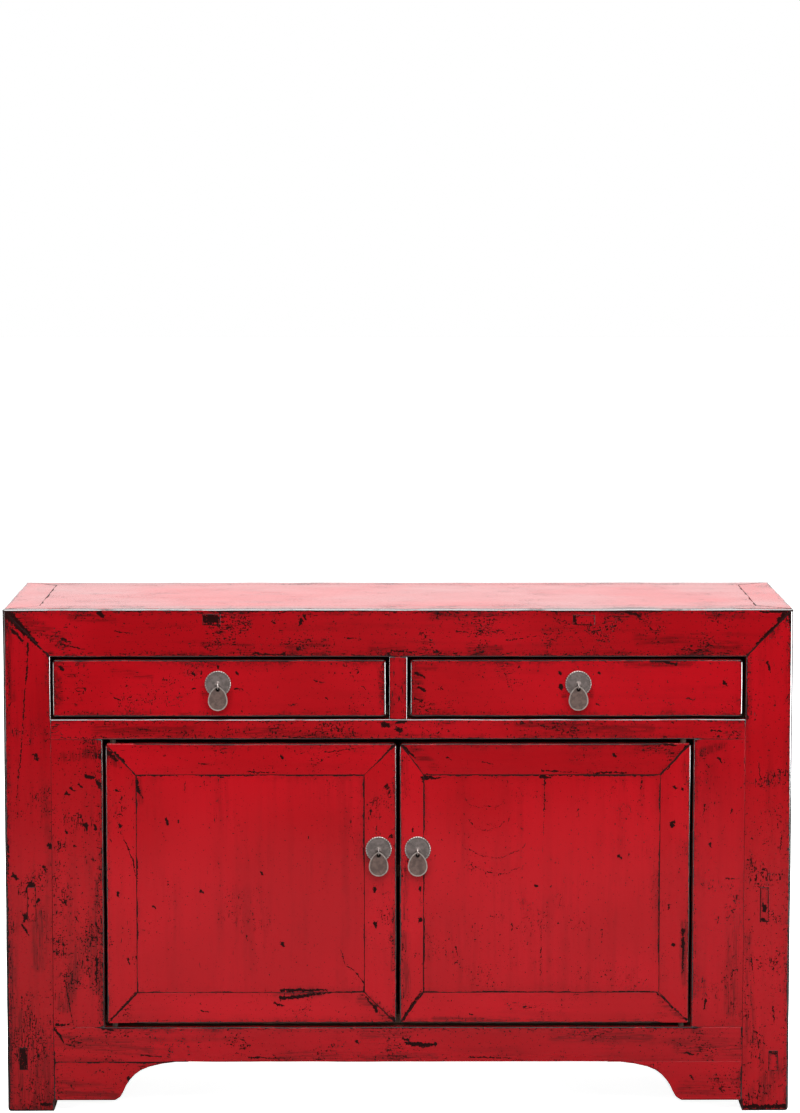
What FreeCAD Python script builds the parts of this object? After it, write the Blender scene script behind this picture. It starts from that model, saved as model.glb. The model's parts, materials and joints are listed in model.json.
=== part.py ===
import FreeCAD, Part
import math
import os
import re

import Sketcher

# A low two-door, two-drawer Chinese wedding cabinet in lacquered elm.
# Millimetres, +Z up, the front faces -Y, left is -X. The origin is on the floor, at the centre of
# the plan of the whole cabinet with its pulls.

SIZES = {
    # Overall carcass, without the pulls
    "carcass_width": 1310,
    "carcass_depth": 400,
    "carcass_height": 849,
    # Corner legs and the mitred frame round the top
    "leg_width": 78,
    "leg_depth": 60,
    "top_rail_height": 80.5,
    "top_side_rail_width": 57,
    "top_panel_thickness": 12,
    # Two battens under the top, tenoned right through the front and back rails
    "top_batten_width": 40,
    "top_batten_height": 30,
    "top_batten_offset": 310,
    "top_tenon_height": 20,
    # Tongues of the flush panels and the grooves that hold them
    "tongue_length": 8,
    "tongue_thickness": 6,
    "top_tongue_drop": 3,
    "expansion_gap": 1.5,
    # Front frame
    "drawer_opening_height": 104,
    "drawer_rail_height": 34,
    "drawer_rail_depth": 45,
    "divider_width": 30,
    "divider_depth": 40,
    "divider_tenon_length": 15,
    "divider_tenon_width": 16,
    "divider_tenon_thickness": 12,
    "wing_width": 86,
    "wing_thickness": 20,
    "wing_tongue_length": 10,
    "wing_tongue_thickness": 8,
    "front_tenon_length": 25,
    "front_tenon_thickness": 12,
    "front_tenon_setback": 12,
    "front_tenon_shoulder": 6,
    "bottom_rail_top": 143.5,
    "bottom_rail_height": 59,
    "bottom_rail_depth": 40,
    # Shaped brackets under the front bottom rail
    "bracket_clearance": 18,
    "bracket_thickness": 20,
    "bracket_reach": 102,
    "bracket_knee_radius": 48,
    "bracket_sweep_radius": 265,
    "bracket_tip": 1.5,
    "bracket_toe_slope": 63,
    "bracket_break_slope": 18,
    # Sides: bottom rails and shelf bearers with through tenons, and framed panels
    "low_side_rail_width": 50,
    "low_side_rail_height": 77.5,
    "low_tenon_width": 14,
    "low_tenon_height": 41,
    "low_tenon_setback": 20,
    "low_tenon_rise": 4.5,
    "bearer_level": 318,
    "bearer_height": 70,
    "bearer_width": 36,
    "bearer_setback": 22,
    "bearer_tenon_width": 15,
    "bearer_tenon_height": 58,
    "bearer_tenon_setback": 36,
    "outer_panel_thickness": 12,
    "outer_panel_setback": 6,
    "outer_panel_groove": 8,
    # Back
    "back_rail_depth": 30,
    # Floor of the cupboard and the shelf
    "floor_board_thickness": 15,
    "shelf_thickness": 18,
    "hinge_notch_depth": 8,
    "hinge_notch_width": 61,
    "fitting_gap": 0.5,
    # Doors
    "door_side_gap": 4.5,
    "door_meeting_gap": 8,
    "door_top_gap": 7,
    "door_bottom_gap": 7,
    "door_thickness": 28,
    "hinge_stile_width": 50,
    "left_lock_stile_width": 52,
    "right_lock_stile_width": 38,
    "door_rail_width": 52,
    "door_panel_thickness": 16,
    "door_tongue_drop": 5,
    "door_batten_width": 40,
    "door_batten_tenon": 8,
    "seat_gap": 0.3,
    # Wooden pivots of the doors
    "pivot_radius": 5,
    "pivot_clearance": 0.08,
    "pivot_edge_offset": 12,
    "pivot_face_offset": 10,
    "upper_pivot_depth": 12,
    "lower_pivot_depth": 6,
    "pivot_lift_room": 7,
    "pivot_root": 24,
    # Drawers
    "drawer_end_gap": 5.5,
    "drawer_bottom_gap": 4.4,
    "drawer_top_gap": 6.4,
    "drawer_front_thickness": 20,
    "drawer_side_thickness": 12,
    "drawer_side_height": 80,
    "drawer_side_inset": 2,
    "drawer_side_lap": 10,
    "drawer_back_thickness": 12,
    "drawer_bottom_thickness": 8,
    "drawer_bottom_rise": 8,
    "drawer_groove": 5,
    "drawer_rear_gap": 4,
    # Drawer runners
    "runner_bearing": 34,
    "runner_height": 22,
    "runner_guide_rise": 12,
    "runner_guide_gap": 1.5,
    "runner_tenon_length": 10,
    "runner_tenon_height": 10,
    # Back plates, eye pins and teardrop pulls
    "plate_radius": 21.7,
    "plate_thickness": 1.2,
    "plate_rim_rise": 1.2,
    "plate_rim_width": 2.4,
    "plate_rim_bevel": 0.7,
    "plate_boss_radius": 4.5,
    "plate_boss_rise": 0.8,
    "plate_flute_radius": 1.1,
    "plate_flute_bite": 0.45,
    "wire_radius": 1.1,
    "eye_radius": 4.6,
    "eye_drop": 3,
    "eye_standoff": 1,
    "shank_radius": 1.6,
    "shank_clearance": 0.1,
    "clinch_length": 12,
    "clinch_width": 2.4,
    "clinch_thickness": 1.2,
    "pull_length": 41,
    "pull_half_width": 16.2,
    "pull_tip_radius": 6,
    "pull_thickness": 2.2,
    "pull_rim_width": 1.8,
    "pull_rim_rise": 0.6,
    "pull_hole_radius": 2.6,
    "pull_hole_drop": 5.5,
    "pull_play": 0.5,
    "drawer_plate_above_middle": 8.5,
    "door_plate_above_middle": 58.5,
    "door_plate_setback": 28.5,
    "drawer_plate_outset": 3,
    # How far a cutting shape runs past what it cuts
    "overrun": 2,
}

FLUTE_COUNT = 32

# Sizes that follow from the ones above. A word here may use any word above or in this table.
DERIVED = {
    "half_width": "carcass_width / 2",
    "eye_out": "plate_thickness + eye_standoff + eye_radius + wire_radius",
    "pull_projection": "eye_out + eye_radius + wire_radius",
    "front_face": "-(carcass_depth + pull_projection) / 2 + pull_projection",
    "back_face": "front_face + carcass_depth",
    "leg_inner": "half_width - leg_width",
    "top_rail_depth": "top_side_rail_width * leg_depth / leg_width",
    "top_rail_bottom": "carcass_height - top_rail_height",
    "top_frame_width": "carcass_width - 2 * top_side_rail_width",
    "top_frame_depth": "carcass_depth - 2 * top_rail_depth",
    "top_panel_bottom": "carcass_height - top_panel_thickness",
    "drawer_rail_top": "top_rail_bottom - drawer_opening_height",
    "drawer_rail_bottom": "drawer_rail_top - drawer_rail_height",
    "bottom_rail_bottom": "bottom_rail_top - bottom_rail_height",
    "door_opening_edge": "leg_inner - wing_width",
    "door_opening_height": "drawer_rail_bottom - bottom_rail_top",
    "outer_panel_depth": "outer_panel_setback + outer_panel_thickness",
    "bearer_top": "bearer_level + bearer_height",
    "bearer_tenon_bottom": "bearer_level + (bearer_height - bearer_tenon_height) / 2",
    "low_tenon_bottom": "bottom_rail_top - low_side_rail_height + low_tenon_rise",
    "board_half_width": "half_width - outer_panel_depth - fitting_gap",
    "bracket_height": "bottom_rail_bottom - bracket_clearance",
    "bracket_sweep_run": "bracket_sweep_radius * sin(bracket_break_slope)",
    "bracket_sweep_rise": "bracket_sweep_radius * (1 - cos(bracket_break_slope))",
    "bracket_knee_run": "bracket_knee_radius * (sin(bracket_toe_slope) - sin(bracket_break_slope))",
    "bracket_knee_rise": "bracket_knee_radius * (cos(bracket_break_slope) - cos(bracket_toe_slope))",
    "bracket_toe_rise": "bracket_height - bracket_tip - bracket_sweep_rise - bracket_knee_rise",
    "bracket_knee_start": "bracket_reach + bracket_toe_rise / tan(bracket_toe_slope)",
    "bracket_knee_end": "bracket_knee_start + bracket_knee_run",
    "bracket_width": "bracket_knee_end + bracket_sweep_run",
    "door_outer": "door_opening_edge - door_side_gap",
    "door_inner": "door_meeting_gap / 2",
    "door_width": "door_outer - door_inner",
    "door_bottom": "bottom_rail_top + door_bottom_gap",
    "door_top": "drawer_rail_bottom - door_top_gap",
    "door_height": "door_top - door_bottom",
    "pivot_offset": "door_outer - pivot_edge_offset",
    "drawer_outer": "leg_inner - drawer_end_gap",
    "drawer_inner": "divider_width / 2 + drawer_end_gap",
    "drawer_low": "drawer_rail_top + drawer_bottom_gap",
    "drawer_front_height": "drawer_opening_height - drawer_bottom_gap - drawer_top_gap",
    "drawer_depth": "carcass_depth - outer_panel_depth - drawer_rear_gap",
    "drawer_side_outer": "drawer_outer - drawer_side_inset",
    "drawer_side_inner": "drawer_inner + drawer_side_inset",
    "runner_top": "drawer_low - seat_gap",
    "runner_bottom": "runner_top - runner_height",
    "guide_outer": "drawer_side_outer + runner_guide_gap",
    "guide_inner": "drawer_side_inner - runner_guide_gap",
    "door_plate_offset": "door_inner + door_plate_setback",
    "door_plate_level": "door_bottom + door_height / 2 + door_plate_above_middle",
    "drawer_plate_offset": "(drawer_outer + drawer_inner) / 2 + drawer_plate_outset",
    "drawer_plate_level": "drawer_low + drawer_front_height / 2 + drawer_plate_above_middle",
    "shank_hole_radius": "shank_radius + shank_clearance",
    "pull_round_drop": "pull_length - pull_half_width",
    "pull_side_radius": "(pull_half_width * pull_half_width + pull_round_drop * pull_round_drop"
                        " - 2 * pull_round_drop * pull_tip_radius)"
                        " / (2 * (pull_half_width - pull_tip_radius))",
    "pull_shoulder_reach": "(pull_side_radius - pull_tip_radius)",
    "pull_hang": "pull_hole_radius - wire_radius - pull_play",
    "eye_rear": "eye_out - sqrt(eye_radius * eye_radius - eye_drop * eye_drop)",
}

WORD = re.compile(r"[a-z][a-z_]*[a-z]")

SIDES = ("left", "right")
ENDS = ("front", "back")
SIGN = {"left": "-", "right": ""}

# Turns of things that are built along +Z
INWARD = FreeCAD.Rotation(FreeCAD.Vector(1, 0, 0), -90)
OUTWARD = FreeCAD.Rotation(FreeCAD.Vector(1, 0, 0), 90)
SIDEWAYS = FreeCAD.Rotation(FreeCAD.Vector(0, 1, 0), 90)

doc = FreeCAD.newDocument("wedding_cabinet")
sheet = doc.addObject("Spreadsheet::Sheet", "sizes")
subparts = {}


def fill_sheet():
    for row, (name, value) in enumerate(SIZES.items(), start=1):
        sheet.set(f"A{row}", name)
        sheet.set(f"B{row}", str(value))
        sheet.setAlias(f"B{row}", name)
    doc.recompute()


def spell(formula):
    """A formula in plain words, with each word taken back to the driving sizes."""
    def cell(match):
        word = match.group()
        if word in SIZES:
            return f"sizes.{word}"
        if word in DERIVED:
            return f"({spell(DERIVED[word])})"
        return word
    return WORD.sub(cell, formula)


def value(formula):
    return float(sheet.evalExpression(spell(formula)))


def bind(thing, prop, formula):
    thing.setExpression(prop, spell(formula))


def place(thing, low):
    for axis, formula in zip("xyz", low):
        bind(thing, f".Placement.Base.{axis}", formula)


def keep(label, thing):
    """Names a finished sub-part."""
    thing.Label = label
    subparts[label] = thing
    return thing


# Places across the width are distances from the centre line, and places through the depth are
# distances from the front or the back face.
def across(side, near, far):
    low = f"-({far})" if side == "left" else near
    return low, f"({far}) - ({near})"


def through(end, near, far):
    low = f"front_face + ({near})" if end == "front" else f"back_face - ({far})"
    return low, f"({far}) - ({near})"


def box(name, wide, deep, tall):
    """A block from three (low, size) pairs."""
    block = doc.addObject("Part::Box", name)
    for prop, (_, size) in zip(("Length", "Width", "Height"), (wide, deep, tall)):
        bind(block, prop, size)
    place(block, (wide[0], deep[0], tall[0]))
    return block


def rod(name, radius, length, low, turn=None):
    cylinder = doc.addObject("Part::Cylinder", name)
    if turn:
        cylinder.Placement.Rotation = turn
    bind(cylinder, "Radius", radius)
    bind(cylinder, "Height", length)
    place(cylinder, low)
    return cylinder


def join(name, pieces):
    if len(pieces) == 1:
        return pieces[0]
    union = doc.addObject("Part::MultiFuse", name)
    union.Shapes = pieces
    return union


def carve(name, base, tools):
    result = doc.addObject("Part::Cut", name)
    result.Base = base
    result.Tool = join(f"{name}_tools", tools)
    return result


def overlap_of(name, first, second):
    result = doc.addObject("Part::Common", name)
    result.Base = first
    result.Tool = second
    return result


def plane_of(body, role):
    return next(plane for plane in body.Origin.OriginFeatures if plane.Role == role)


def draw_outline(sketch, points):
    """A closed outline. A point is (x, y), or (x, y, radius, way) where an arc runs from it to the
    next point, with way 1 if the arc bulges to the right of the chord and -1 if to the left."""
    spots = [FreeCAD.Vector(value(p[0]), value(p[1]), 0) for p in points]
    ends = []
    for index, point in enumerate(points):
        start, end = spots[index], spots[(index + 1) % len(points)]
        if len(point) == 2:
            ends.append((sketch.addGeometry(Part.LineSegment(start, end), False), 1, 2))
            continue
        radius, way = value(point[2]), point[3]
        chord = end - start
        half = chord.Length / 2
        rise = radius - math.sqrt(radius ** 2 - half ** 2)
        aside = FreeCAD.Vector(chord.y, -chord.x, 0).normalize()
        middle = start + chord * 0.5 + aside * (way * rise)
        arc = sketch.addGeometry(Part.Arc(start, middle, end), False)
        first = 1 if sketch.getPoint(arc, 1).distanceToPoint(start) < half else 2
        ends.append((arc, first, 3 - first))
        ring = sketch.addConstraint(Sketcher.Constraint("Radius", arc, radius))
        bind(sketch, f"Constraints[{ring}]", point[2])
    for index, (x, y, *_) in enumerate(points):
        edge, start, _ = ends[index]
        before, _, end = ends[index - 1]
        sketch.addConstraint(Sketcher.Constraint("Coincident", before, end, edge, start))
        hold(sketch, "DistanceX", edge, start, x, -2)
        hold(sketch, "DistanceY", edge, start, y, -1)


def hold(sketch, kind, edge, end, formula, axis):
    """Sets one coordinate of a sketch point, on an axis where it is zero."""
    amount = value(formula)
    if abs(amount) < FreeCAD.Base.Precision.confusion():
        sketch.addConstraint(Sketcher.Constraint("PointOnObject", edge, end, axis))
        return
    rule = sketch.addConstraint(Sketcher.Constraint(kind, -1, 1, edge, end, amount))
    bind(sketch, f"Constraints[{rule}]", formula)


def sketch_on(body, role, name, points):
    sketch = body.newObject("Sketcher::SketchObject", name)
    sketch.AttachmentSupport = (plane_of(body, role), "")
    sketch.MapMode = "FlatFace"
    draw_outline(sketch, points)
    return sketch


def prism(name, role, points, length, low):
    """A padded outline. It grows along +Z from XY_Plane, +Y from XZ_Plane and +X from YZ_Plane."""
    body = doc.addObject("PartDesign::Body", name)
    profile = sketch_on(body, role, f"{name}_outline", points)
    pad = body.newObject("PartDesign::Pad", f"{name}_pad")
    pad.Profile = profile
    bind(pad, "Length", length)
    pad.Reversed = role == "XZ_Plane"
    place(body, low)
    return body


def flipped(points, width):
    """The same outline seen from the other side."""
    turned = []
    for x, y, *arc in points:
        turned.append((f"({width}) - ({x})", y, *arc))
    return turned


# The carcass


def mitre_across(width, low_depth):
    """A front or back top rail from above: full length at its outer edge, and cut back at both
    ends to meet the side rails."""
    return [("0", "0"), (width, "0"), (f"{width} - ({low_depth[0]})", low_depth[1]),
            (low_depth[0], low_depth[1])]


def leg_blank(name, side, end):
    """A leg whose top runs up to a point at the outer corner, where it meets the two top rails."""
    front_view = [("0", "0"), ("leg_width", "0"), ("leg_width", "top_rail_bottom"),
                  ("0", "carcass_height")]
    side_view = [("0", "0"), ("leg_depth", "0"), ("leg_depth", "top_rail_bottom"),
                 ("0", "carcass_height")]
    if side == "right":
        front_view = flipped(front_view, "leg_width")
    if end == "back":
        side_view = flipped(side_view, "leg_depth")
    corner = (across(side, "leg_inner", "half_width")[0], through(end, "0", "leg_depth")[0], "0")
    return overlap_of(name,
                      prism(f"{name}_front_view", "XZ_Plane", front_view, "leg_depth", corner),
                      prism(f"{name}_side_view", "YZ_Plane", side_view, "leg_width", corner))


def top_cross_rail(name, end):
    """The front or back rail of the top, mitred down to the legs and along to the side rails."""
    front_view = [("leg_width", "0"), ("carcass_width - leg_width", "0"),
                  ("carcass_width", "top_rail_height"), ("0", "top_rail_height")]
    plan = mitre_across("carcass_width", ("top_side_rail_width", "top_rail_depth"))
    if end == "back":
        plan = [(x, f"top_rail_depth - ({y})") for x, y in reversed(plan)]
    corner = ("-half_width", through(end, "0", "top_rail_depth")[0], "top_rail_bottom")
    return overlap_of(name,
                      prism(f"{name}_front_view", "XZ_Plane", front_view, "top_rail_depth", corner),
                      prism(f"{name}_plan", "XY_Plane", plan, "top_rail_height", corner))


def top_side_rail(name, side):
    side_view = [("leg_depth", "0"), ("carcass_depth - leg_depth", "0"),
                 ("carcass_depth", "top_rail_height"), ("0", "top_rail_height")]
    plan = [("0", "0"), ("top_side_rail_width", "top_rail_depth"),
            ("top_side_rail_width", "carcass_depth - top_rail_depth"), ("0", "carcass_depth")]
    if side == "right":
        plan = flipped(plan, "top_side_rail_width")
    wide = across(side, "half_width - top_side_rail_width", "half_width")
    corner = (wide[0], "front_face", "top_rail_bottom")
    return overlap_of(name,
                      prism(f"{name}_side_view", "YZ_Plane", side_view, "top_side_rail_width",
                            corner),
                      prism(f"{name}_plan", "XY_Plane", plan, "top_rail_height", corner))


def tenon_tall(bottom, height):
    """The height of a stub tenon, with a shoulder above and below it."""
    return f"{bottom} + front_tenon_shoulder", f"{height} - 2 * front_tenon_shoulder"


def cross_rail(name, deep, tenon_near, bottom, height):
    """A rail between the two legs of the front or the back: the bar with its tenons, and the
    tenons alone, by side."""
    end = deep[0]
    tenon_deep = through(end, tenon_near, f"{tenon_near} + front_tenon_thickness")
    tenons = {side: box(f"{name}_tenon_{side}",
                        across(side, "leg_inner", "leg_inner + front_tenon_length"),
                        tenon_deep, tenon_tall(bottom, height))
              for side in SIDES}
    bar = box(f"{name}_bar", ("-leg_inner", "2 * leg_inner"), through(*deep), (bottom, height))
    return join(f"{name}_joined", [bar, *tenons.values()]), tenons


def side_rail(name, side, near, width, bottom, height, tenon):
    """A rail from front leg to back leg, set in by near from the outer side, with a tenon right
    through each leg: the whole rail, and the tenons alone."""
    setback, thickness, tenon_low, tenon_height = tenon
    bar = box(f"{name}_bar", across(side, f"half_width - {near} - {width}", f"half_width - {near}"),
              ("front_face + leg_depth", "carcass_depth - 2 * leg_depth"), (bottom, height))
    tenons = box(f"{name}_tenons",
                 across(side, f"half_width - {setback} - {thickness}", f"half_width - {setback}"),
                 ("front_face", "carcass_depth"), (tenon_low, tenon_height))
    return join(f"{name}_joined", [bar, tenons]), tenons


def panel_tall():
    return ("bottom_rail_top - outer_panel_groove",
            "top_rail_bottom - bottom_rail_top + 2 * outer_panel_groove")


def side_panel(name, side):
    """A side panel with the edges that lie in the grooves of the frame round it."""
    wide = across(side, "half_width - outer_panel_depth", "half_width - outer_panel_setback")
    deep = ("front_face + leg_depth - outer_panel_groove",
            "carcass_depth - 2 * leg_depth + 2 * outer_panel_groove")
    return box(name, wide, deep, panel_tall())


def back_panel(name):
    wide = ("-leg_inner - outer_panel_groove", "2 * (leg_inner + outer_panel_groove)")
    return box(name, wide, through("back", "outer_panel_setback", "outer_panel_depth"), panel_tall())


def mirrored_half(half, centre):
    """A whole outline from its right half, whose points run from the front to the back."""
    right = [(f"{centre} + ({x})", y) for x, y in half]
    left = [(f"{centre} - ({x})", y) for x, y in reversed(half)]
    return right + left


def floor_board():
    """The cupboard's floor, which stops the doors. It is cut out round the legs, and set back
    where the hinge edges of the doors swing in."""
    front = "door_thickness + seat_gap"
    half = [("door_outer - hinge_notch_width", "0"),
            ("door_outer - hinge_notch_width", "hinge_notch_depth"),
            ("leg_inner - fitting_gap", "hinge_notch_depth"),
            ("leg_inner - fitting_gap", f"leg_depth + fitting_gap - ({front})"),
            ("board_half_width", f"leg_depth + fitting_gap - ({front})"),
            ("board_half_width", f"carcass_depth - leg_depth - fitting_gap - ({front})"),
            ("leg_inner - fitting_gap", f"carcass_depth - leg_depth - fitting_gap - ({front})"),
            ("leg_inner - fitting_gap", f"carcass_depth - outer_panel_depth - ({front})")]
    keep("floor_board", prism("floor_board_body", "XY_Plane", mirrored_half(half, "board_half_width"),
                              "floor_board_thickness",
                              ("-board_half_width", f"front_face + {front}", "bottom_rail_top")))


def shelf():
    """The shelf lies on the two bearers, behind the front legs and cut out round the back ones."""
    half = [("board_half_width", "0"),
            ("board_half_width", "carcass_depth - 2 * leg_depth - 2 * fitting_gap"),
            ("leg_inner - fitting_gap", "carcass_depth - 2 * leg_depth - 2 * fitting_gap"),
            ("leg_inner - fitting_gap", "carcass_depth - outer_panel_depth - leg_depth - fitting_gap")]
    keep("shelf", prism("shelf_body", "XY_Plane", mirrored_half(half, "board_half_width"),
                        "shelf_thickness",
                        ("-board_half_width", "front_face + leg_depth + fitting_gap", "bearer_top")))


def bracket(name, side):
    """A shaped bracket: a flat foot, a steep toe, a tight knee and a long sweep up to the rail."""
    points = [("0", "0"), ("bracket_reach", "0"),
              ("bracket_knee_start", "bracket_toe_rise", "bracket_knee_radius", -1),
              ("bracket_knee_end", "bracket_toe_rise + bracket_knee_rise", "bracket_sweep_radius", -1),
              ("bracket_width", "bracket_height - bracket_tip"),
              ("bracket_width", "bracket_height"), ("0", "bracket_height")]
    if side == "right":
        points = flipped(points, "bracket_width")
    corner = (across(side, "leg_inner - bracket_width", "leg_inner")[0], "front_face", "bracket_clearance")
    return prism(name, "XZ_Plane", points, "bracket_thickness", corner)


def pivot_sockets():
    """The round sockets of the door pivots, by rail."""
    upper = [rod(f"upper_socket_{side}", "pivot_radius + pivot_clearance",
                 "upper_pivot_depth + pivot_lift_room",
                 (f"{SIGN[side]}pivot_offset", "front_face + pivot_face_offset", "drawer_rail_bottom"))
             for side in SIDES]
    lower = [rod(f"lower_socket_{side}", "pivot_radius + pivot_clearance",
                 "lower_pivot_depth + seat_gap + overrun",
                 (f"{SIGN[side]}pivot_offset", "front_face + pivot_face_offset",
                  "bottom_rail_top - lower_pivot_depth - seat_gap"))
             for side in SIDES]
    return upper, lower


def runners():
    """The centre runner carries both drawers and the outer ones one each. A guide on each keeps
    the drawers straight."""
    front = "drawer_rail_depth"
    length = "carcass_depth - outer_panel_depth - back_rail_depth - drawer_rail_depth"
    deep = (f"front_face + {front}", length)
    tenon_deep = (f"front_face + {front} - runner_tenon_length", f"{length} + 2 * runner_tenon_length")
    spans = {side: (across(side, "guide_outer - runner_bearing", "leg_inner"),
                    across(side, "guide_outer", "leg_inner")) for side in SIDES}
    spans["centre"] = (("-guide_inner - runner_bearing", "2 * (guide_inner + runner_bearing)"),
                       ("-guide_inner", "2 * guide_inner"))
    pieces, tenons = [], []
    for name, (base, guide) in spans.items():
        tenon = box(f"runner_tenons_{name}", base, tenon_deep, ("runner_bottom", "runner_tenon_height"))
        pieces += [box(f"runner_base_{name}", base, deep, ("runner_bottom", "runner_height")),
                   box(f"runner_guide_{name}", guide, deep, ("runner_top", "runner_guide_rise")), tenon]
        tenons.append(tenon)
    keep("drawer_runners", join("drawer_runners_joined", pieces))
    return tenons


def build_carcass():
    cuts = {(side, end): [] for side in SIDES for end in ENDS}
    panels = {side: side_panel(f"side_panel_{side}_board", side) for side in SIDES}
    back_board = back_panel("back_panel_board")
    keep("back_panel", back_board)

    # Sides
    for side in SIDES:
        keep(f"side_panel_{side}", panels[side])
        rail, low_tenons = side_rail(f"low_rail_{side}", side, "0", "low_side_rail_width",
                                     "bottom_rail_top - low_side_rail_height", "low_side_rail_height",
                                     ("low_tenon_setback", "low_tenon_width", "low_tenon_bottom",
                                      "low_tenon_height"))
        keep(f"bottom_rail_{side}", carve(f"low_rail_{side}_grooved", rail, [panels[side]]))
        bearer, bearer_tenons = side_rail(f"bearer_{side}", side, "bearer_setback", "bearer_width",
                                          "bearer_level", "bearer_height",
                                          ("bearer_tenon_setback", "bearer_tenon_width",
                                           "bearer_tenon_bottom", "bearer_tenon_height"))
        keep(f"shelf_bearer_{side}", bearer)
        for end in ENDS:
            cuts[side, end] += [low_tenons, bearer_tenons, panels[side]]
        cuts[side, "back"].append(back_board)

    # Rails across, the divider and the wing boards
    rails = {
        "drawer_rail": (("front", "0", "drawer_rail_depth"), "front_tenon_setback",
                        "drawer_rail_bottom", "drawer_rail_height"),
        "bottom_rail_front": (("front", "0", "bottom_rail_depth"), "front_tenon_setback",
                              "bottom_rail_bottom", "bottom_rail_height"),
        "bottom_rail_back": (("back", "0", "bottom_rail_depth"), "outer_panel_depth",
                             "bottom_rail_bottom", "bottom_rail_height"),
        "back_middle_rail": (("back", "outer_panel_depth", "outer_panel_depth + back_rail_depth"),
                             "outer_panel_depth + (back_rail_depth - front_tenon_thickness) / 2",
                             "drawer_rail_bottom", "drawer_rail_height"),
    }
    blanks = {}
    for name, (deep, tenon_near, bottom, height) in rails.items():
        blanks[name], tenons = cross_rail(name, deep, tenon_near, bottom, height)
        for side in SIDES:
            cuts[side, deep[0]].append(tenons[side])
    tongues = []
    for side in SIDES:
        wide = across(side, "door_opening_edge", "leg_inner")
        board = box(f"wing_{side}_board", wide, through("front", "0", "wing_thickness"),
                    ("bottom_rail_top", "door_opening_height"))
        near = "(wing_thickness - wing_tongue_thickness) / 2"
        tongue = box(f"wing_{side}_tongues", wide,
                     through("front", near, f"{near} + wing_tongue_thickness"),
                     ("bottom_rail_top - wing_tongue_length",
                      "door_opening_height + 2 * wing_tongue_length"))
        keep(f"wing_board_{side}", join(f"wing_{side}_joined", [board, tongue]))
        tongues.append(tongue)
    post = box("divider_post", ("-divider_width / 2", "divider_width"),
               through("front", "0", "divider_depth"), ("drawer_rail_top", "drawer_opening_height"))
    post_tenons = box("divider_tenons", ("-divider_tenon_width / 2", "divider_tenon_width"),
                      through("front", "front_tenon_setback",
                              "front_tenon_setback + divider_tenon_thickness"),
                      ("drawer_rail_top - divider_tenon_length",
                       "drawer_opening_height + 2 * divider_tenon_length"))
    keep("drawer_divider", join("divider_joined", [post, post_tenons]))
    upper_sockets, lower_sockets = pivot_sockets()
    runner_tenons = runners()
    keep("drawer_rail", carve("drawer_rail_cut", blanks["drawer_rail"],
                              [*tongues, *upper_sockets, *runner_tenons, post_tenons]))
    keep("bottom_rail_front", carve("bottom_rail_front_cut", blanks["bottom_rail_front"],
                                    [*tongues, *lower_sockets]))
    keep("bottom_rail_back", carve("bottom_rail_back_cut", blanks["bottom_rail_back"], [back_board]))
    keep("back_middle_rail", carve("back_middle_rail_cut", blanks["back_middle_rail"], runner_tenons))

    # Top
    groove = framed_plate("top_groove", "tongue_length")
    tongue = framed_plate("top_tongue", "tongue_length - expansion_gap")
    slab = box("top_slab", ("-top_frame_width / 2", "top_frame_width"),
               ("front_face + top_rail_depth", "top_frame_depth"),
               ("top_panel_bottom", "top_panel_thickness"))
    keep("top_panel", join("top_panel_joined", [slab, tongue]))
    bars, batten_tenons = [], []
    for side in SIDES:
        wide = across(side, "top_batten_offset - top_batten_width / 2",
                      "top_batten_offset + top_batten_width / 2")
        bars.append(box(f"top_batten_{side}", wide, ("front_face + top_rail_depth", "top_frame_depth"),
                        ("top_panel_bottom - top_batten_height", "top_batten_height")))
        batten_tenons.append(box(f"top_batten_{side}_tenons", wide, ("front_face", "carcass_depth"),
                                 ("top_panel_bottom - top_tenon_height", "top_tenon_height")))
    keep("top_battens", join("top_battens_joined", bars + batten_tenons))
    for end, extra in (("front", post_tenons), ("back", back_board)):
        rail = top_cross_rail(f"top_rail_{end}_blank", end)
        keep(f"top_rail_{end}", carve(f"top_rail_{end}_cut", rail, [groove, *batten_tenons, extra]))
    for side in SIDES:
        rail = top_side_rail(f"top_rail_{side}_blank", side)
        keep(f"top_rail_{side}", carve(f"top_rail_{side}_cut", rail, [groove, panels[side]]))

    # Legs, cupboard boards and brackets
    for (side, end), tools in cuts.items():
        leg = leg_blank(f"leg_{end}_{side}_blank", side, end)
        keep(f"leg_{end}_{side}", carve(f"leg_{end}_{side}_cut", leg, tools))
    floor_board()
    shelf()
    keep("apron_brackets", join("apron_brackets_joined", [bracket(f"bracket_{side}", side)
                                                          for side in SIDES]))


def framed_plate(name, reach):
    """The tongue of the top panel, or with a longer reach the groove for it."""
    return box(name, (f"-top_frame_width / 2 - ({reach})", f"top_frame_width + 2 * ({reach})"),
               (f"front_face + top_rail_depth - ({reach})", f"top_frame_depth + 2 * ({reach})"),
               ("carcass_height - top_tongue_drop - tongue_thickness", "tongue_thickness"))


# Doors and drawers


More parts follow.
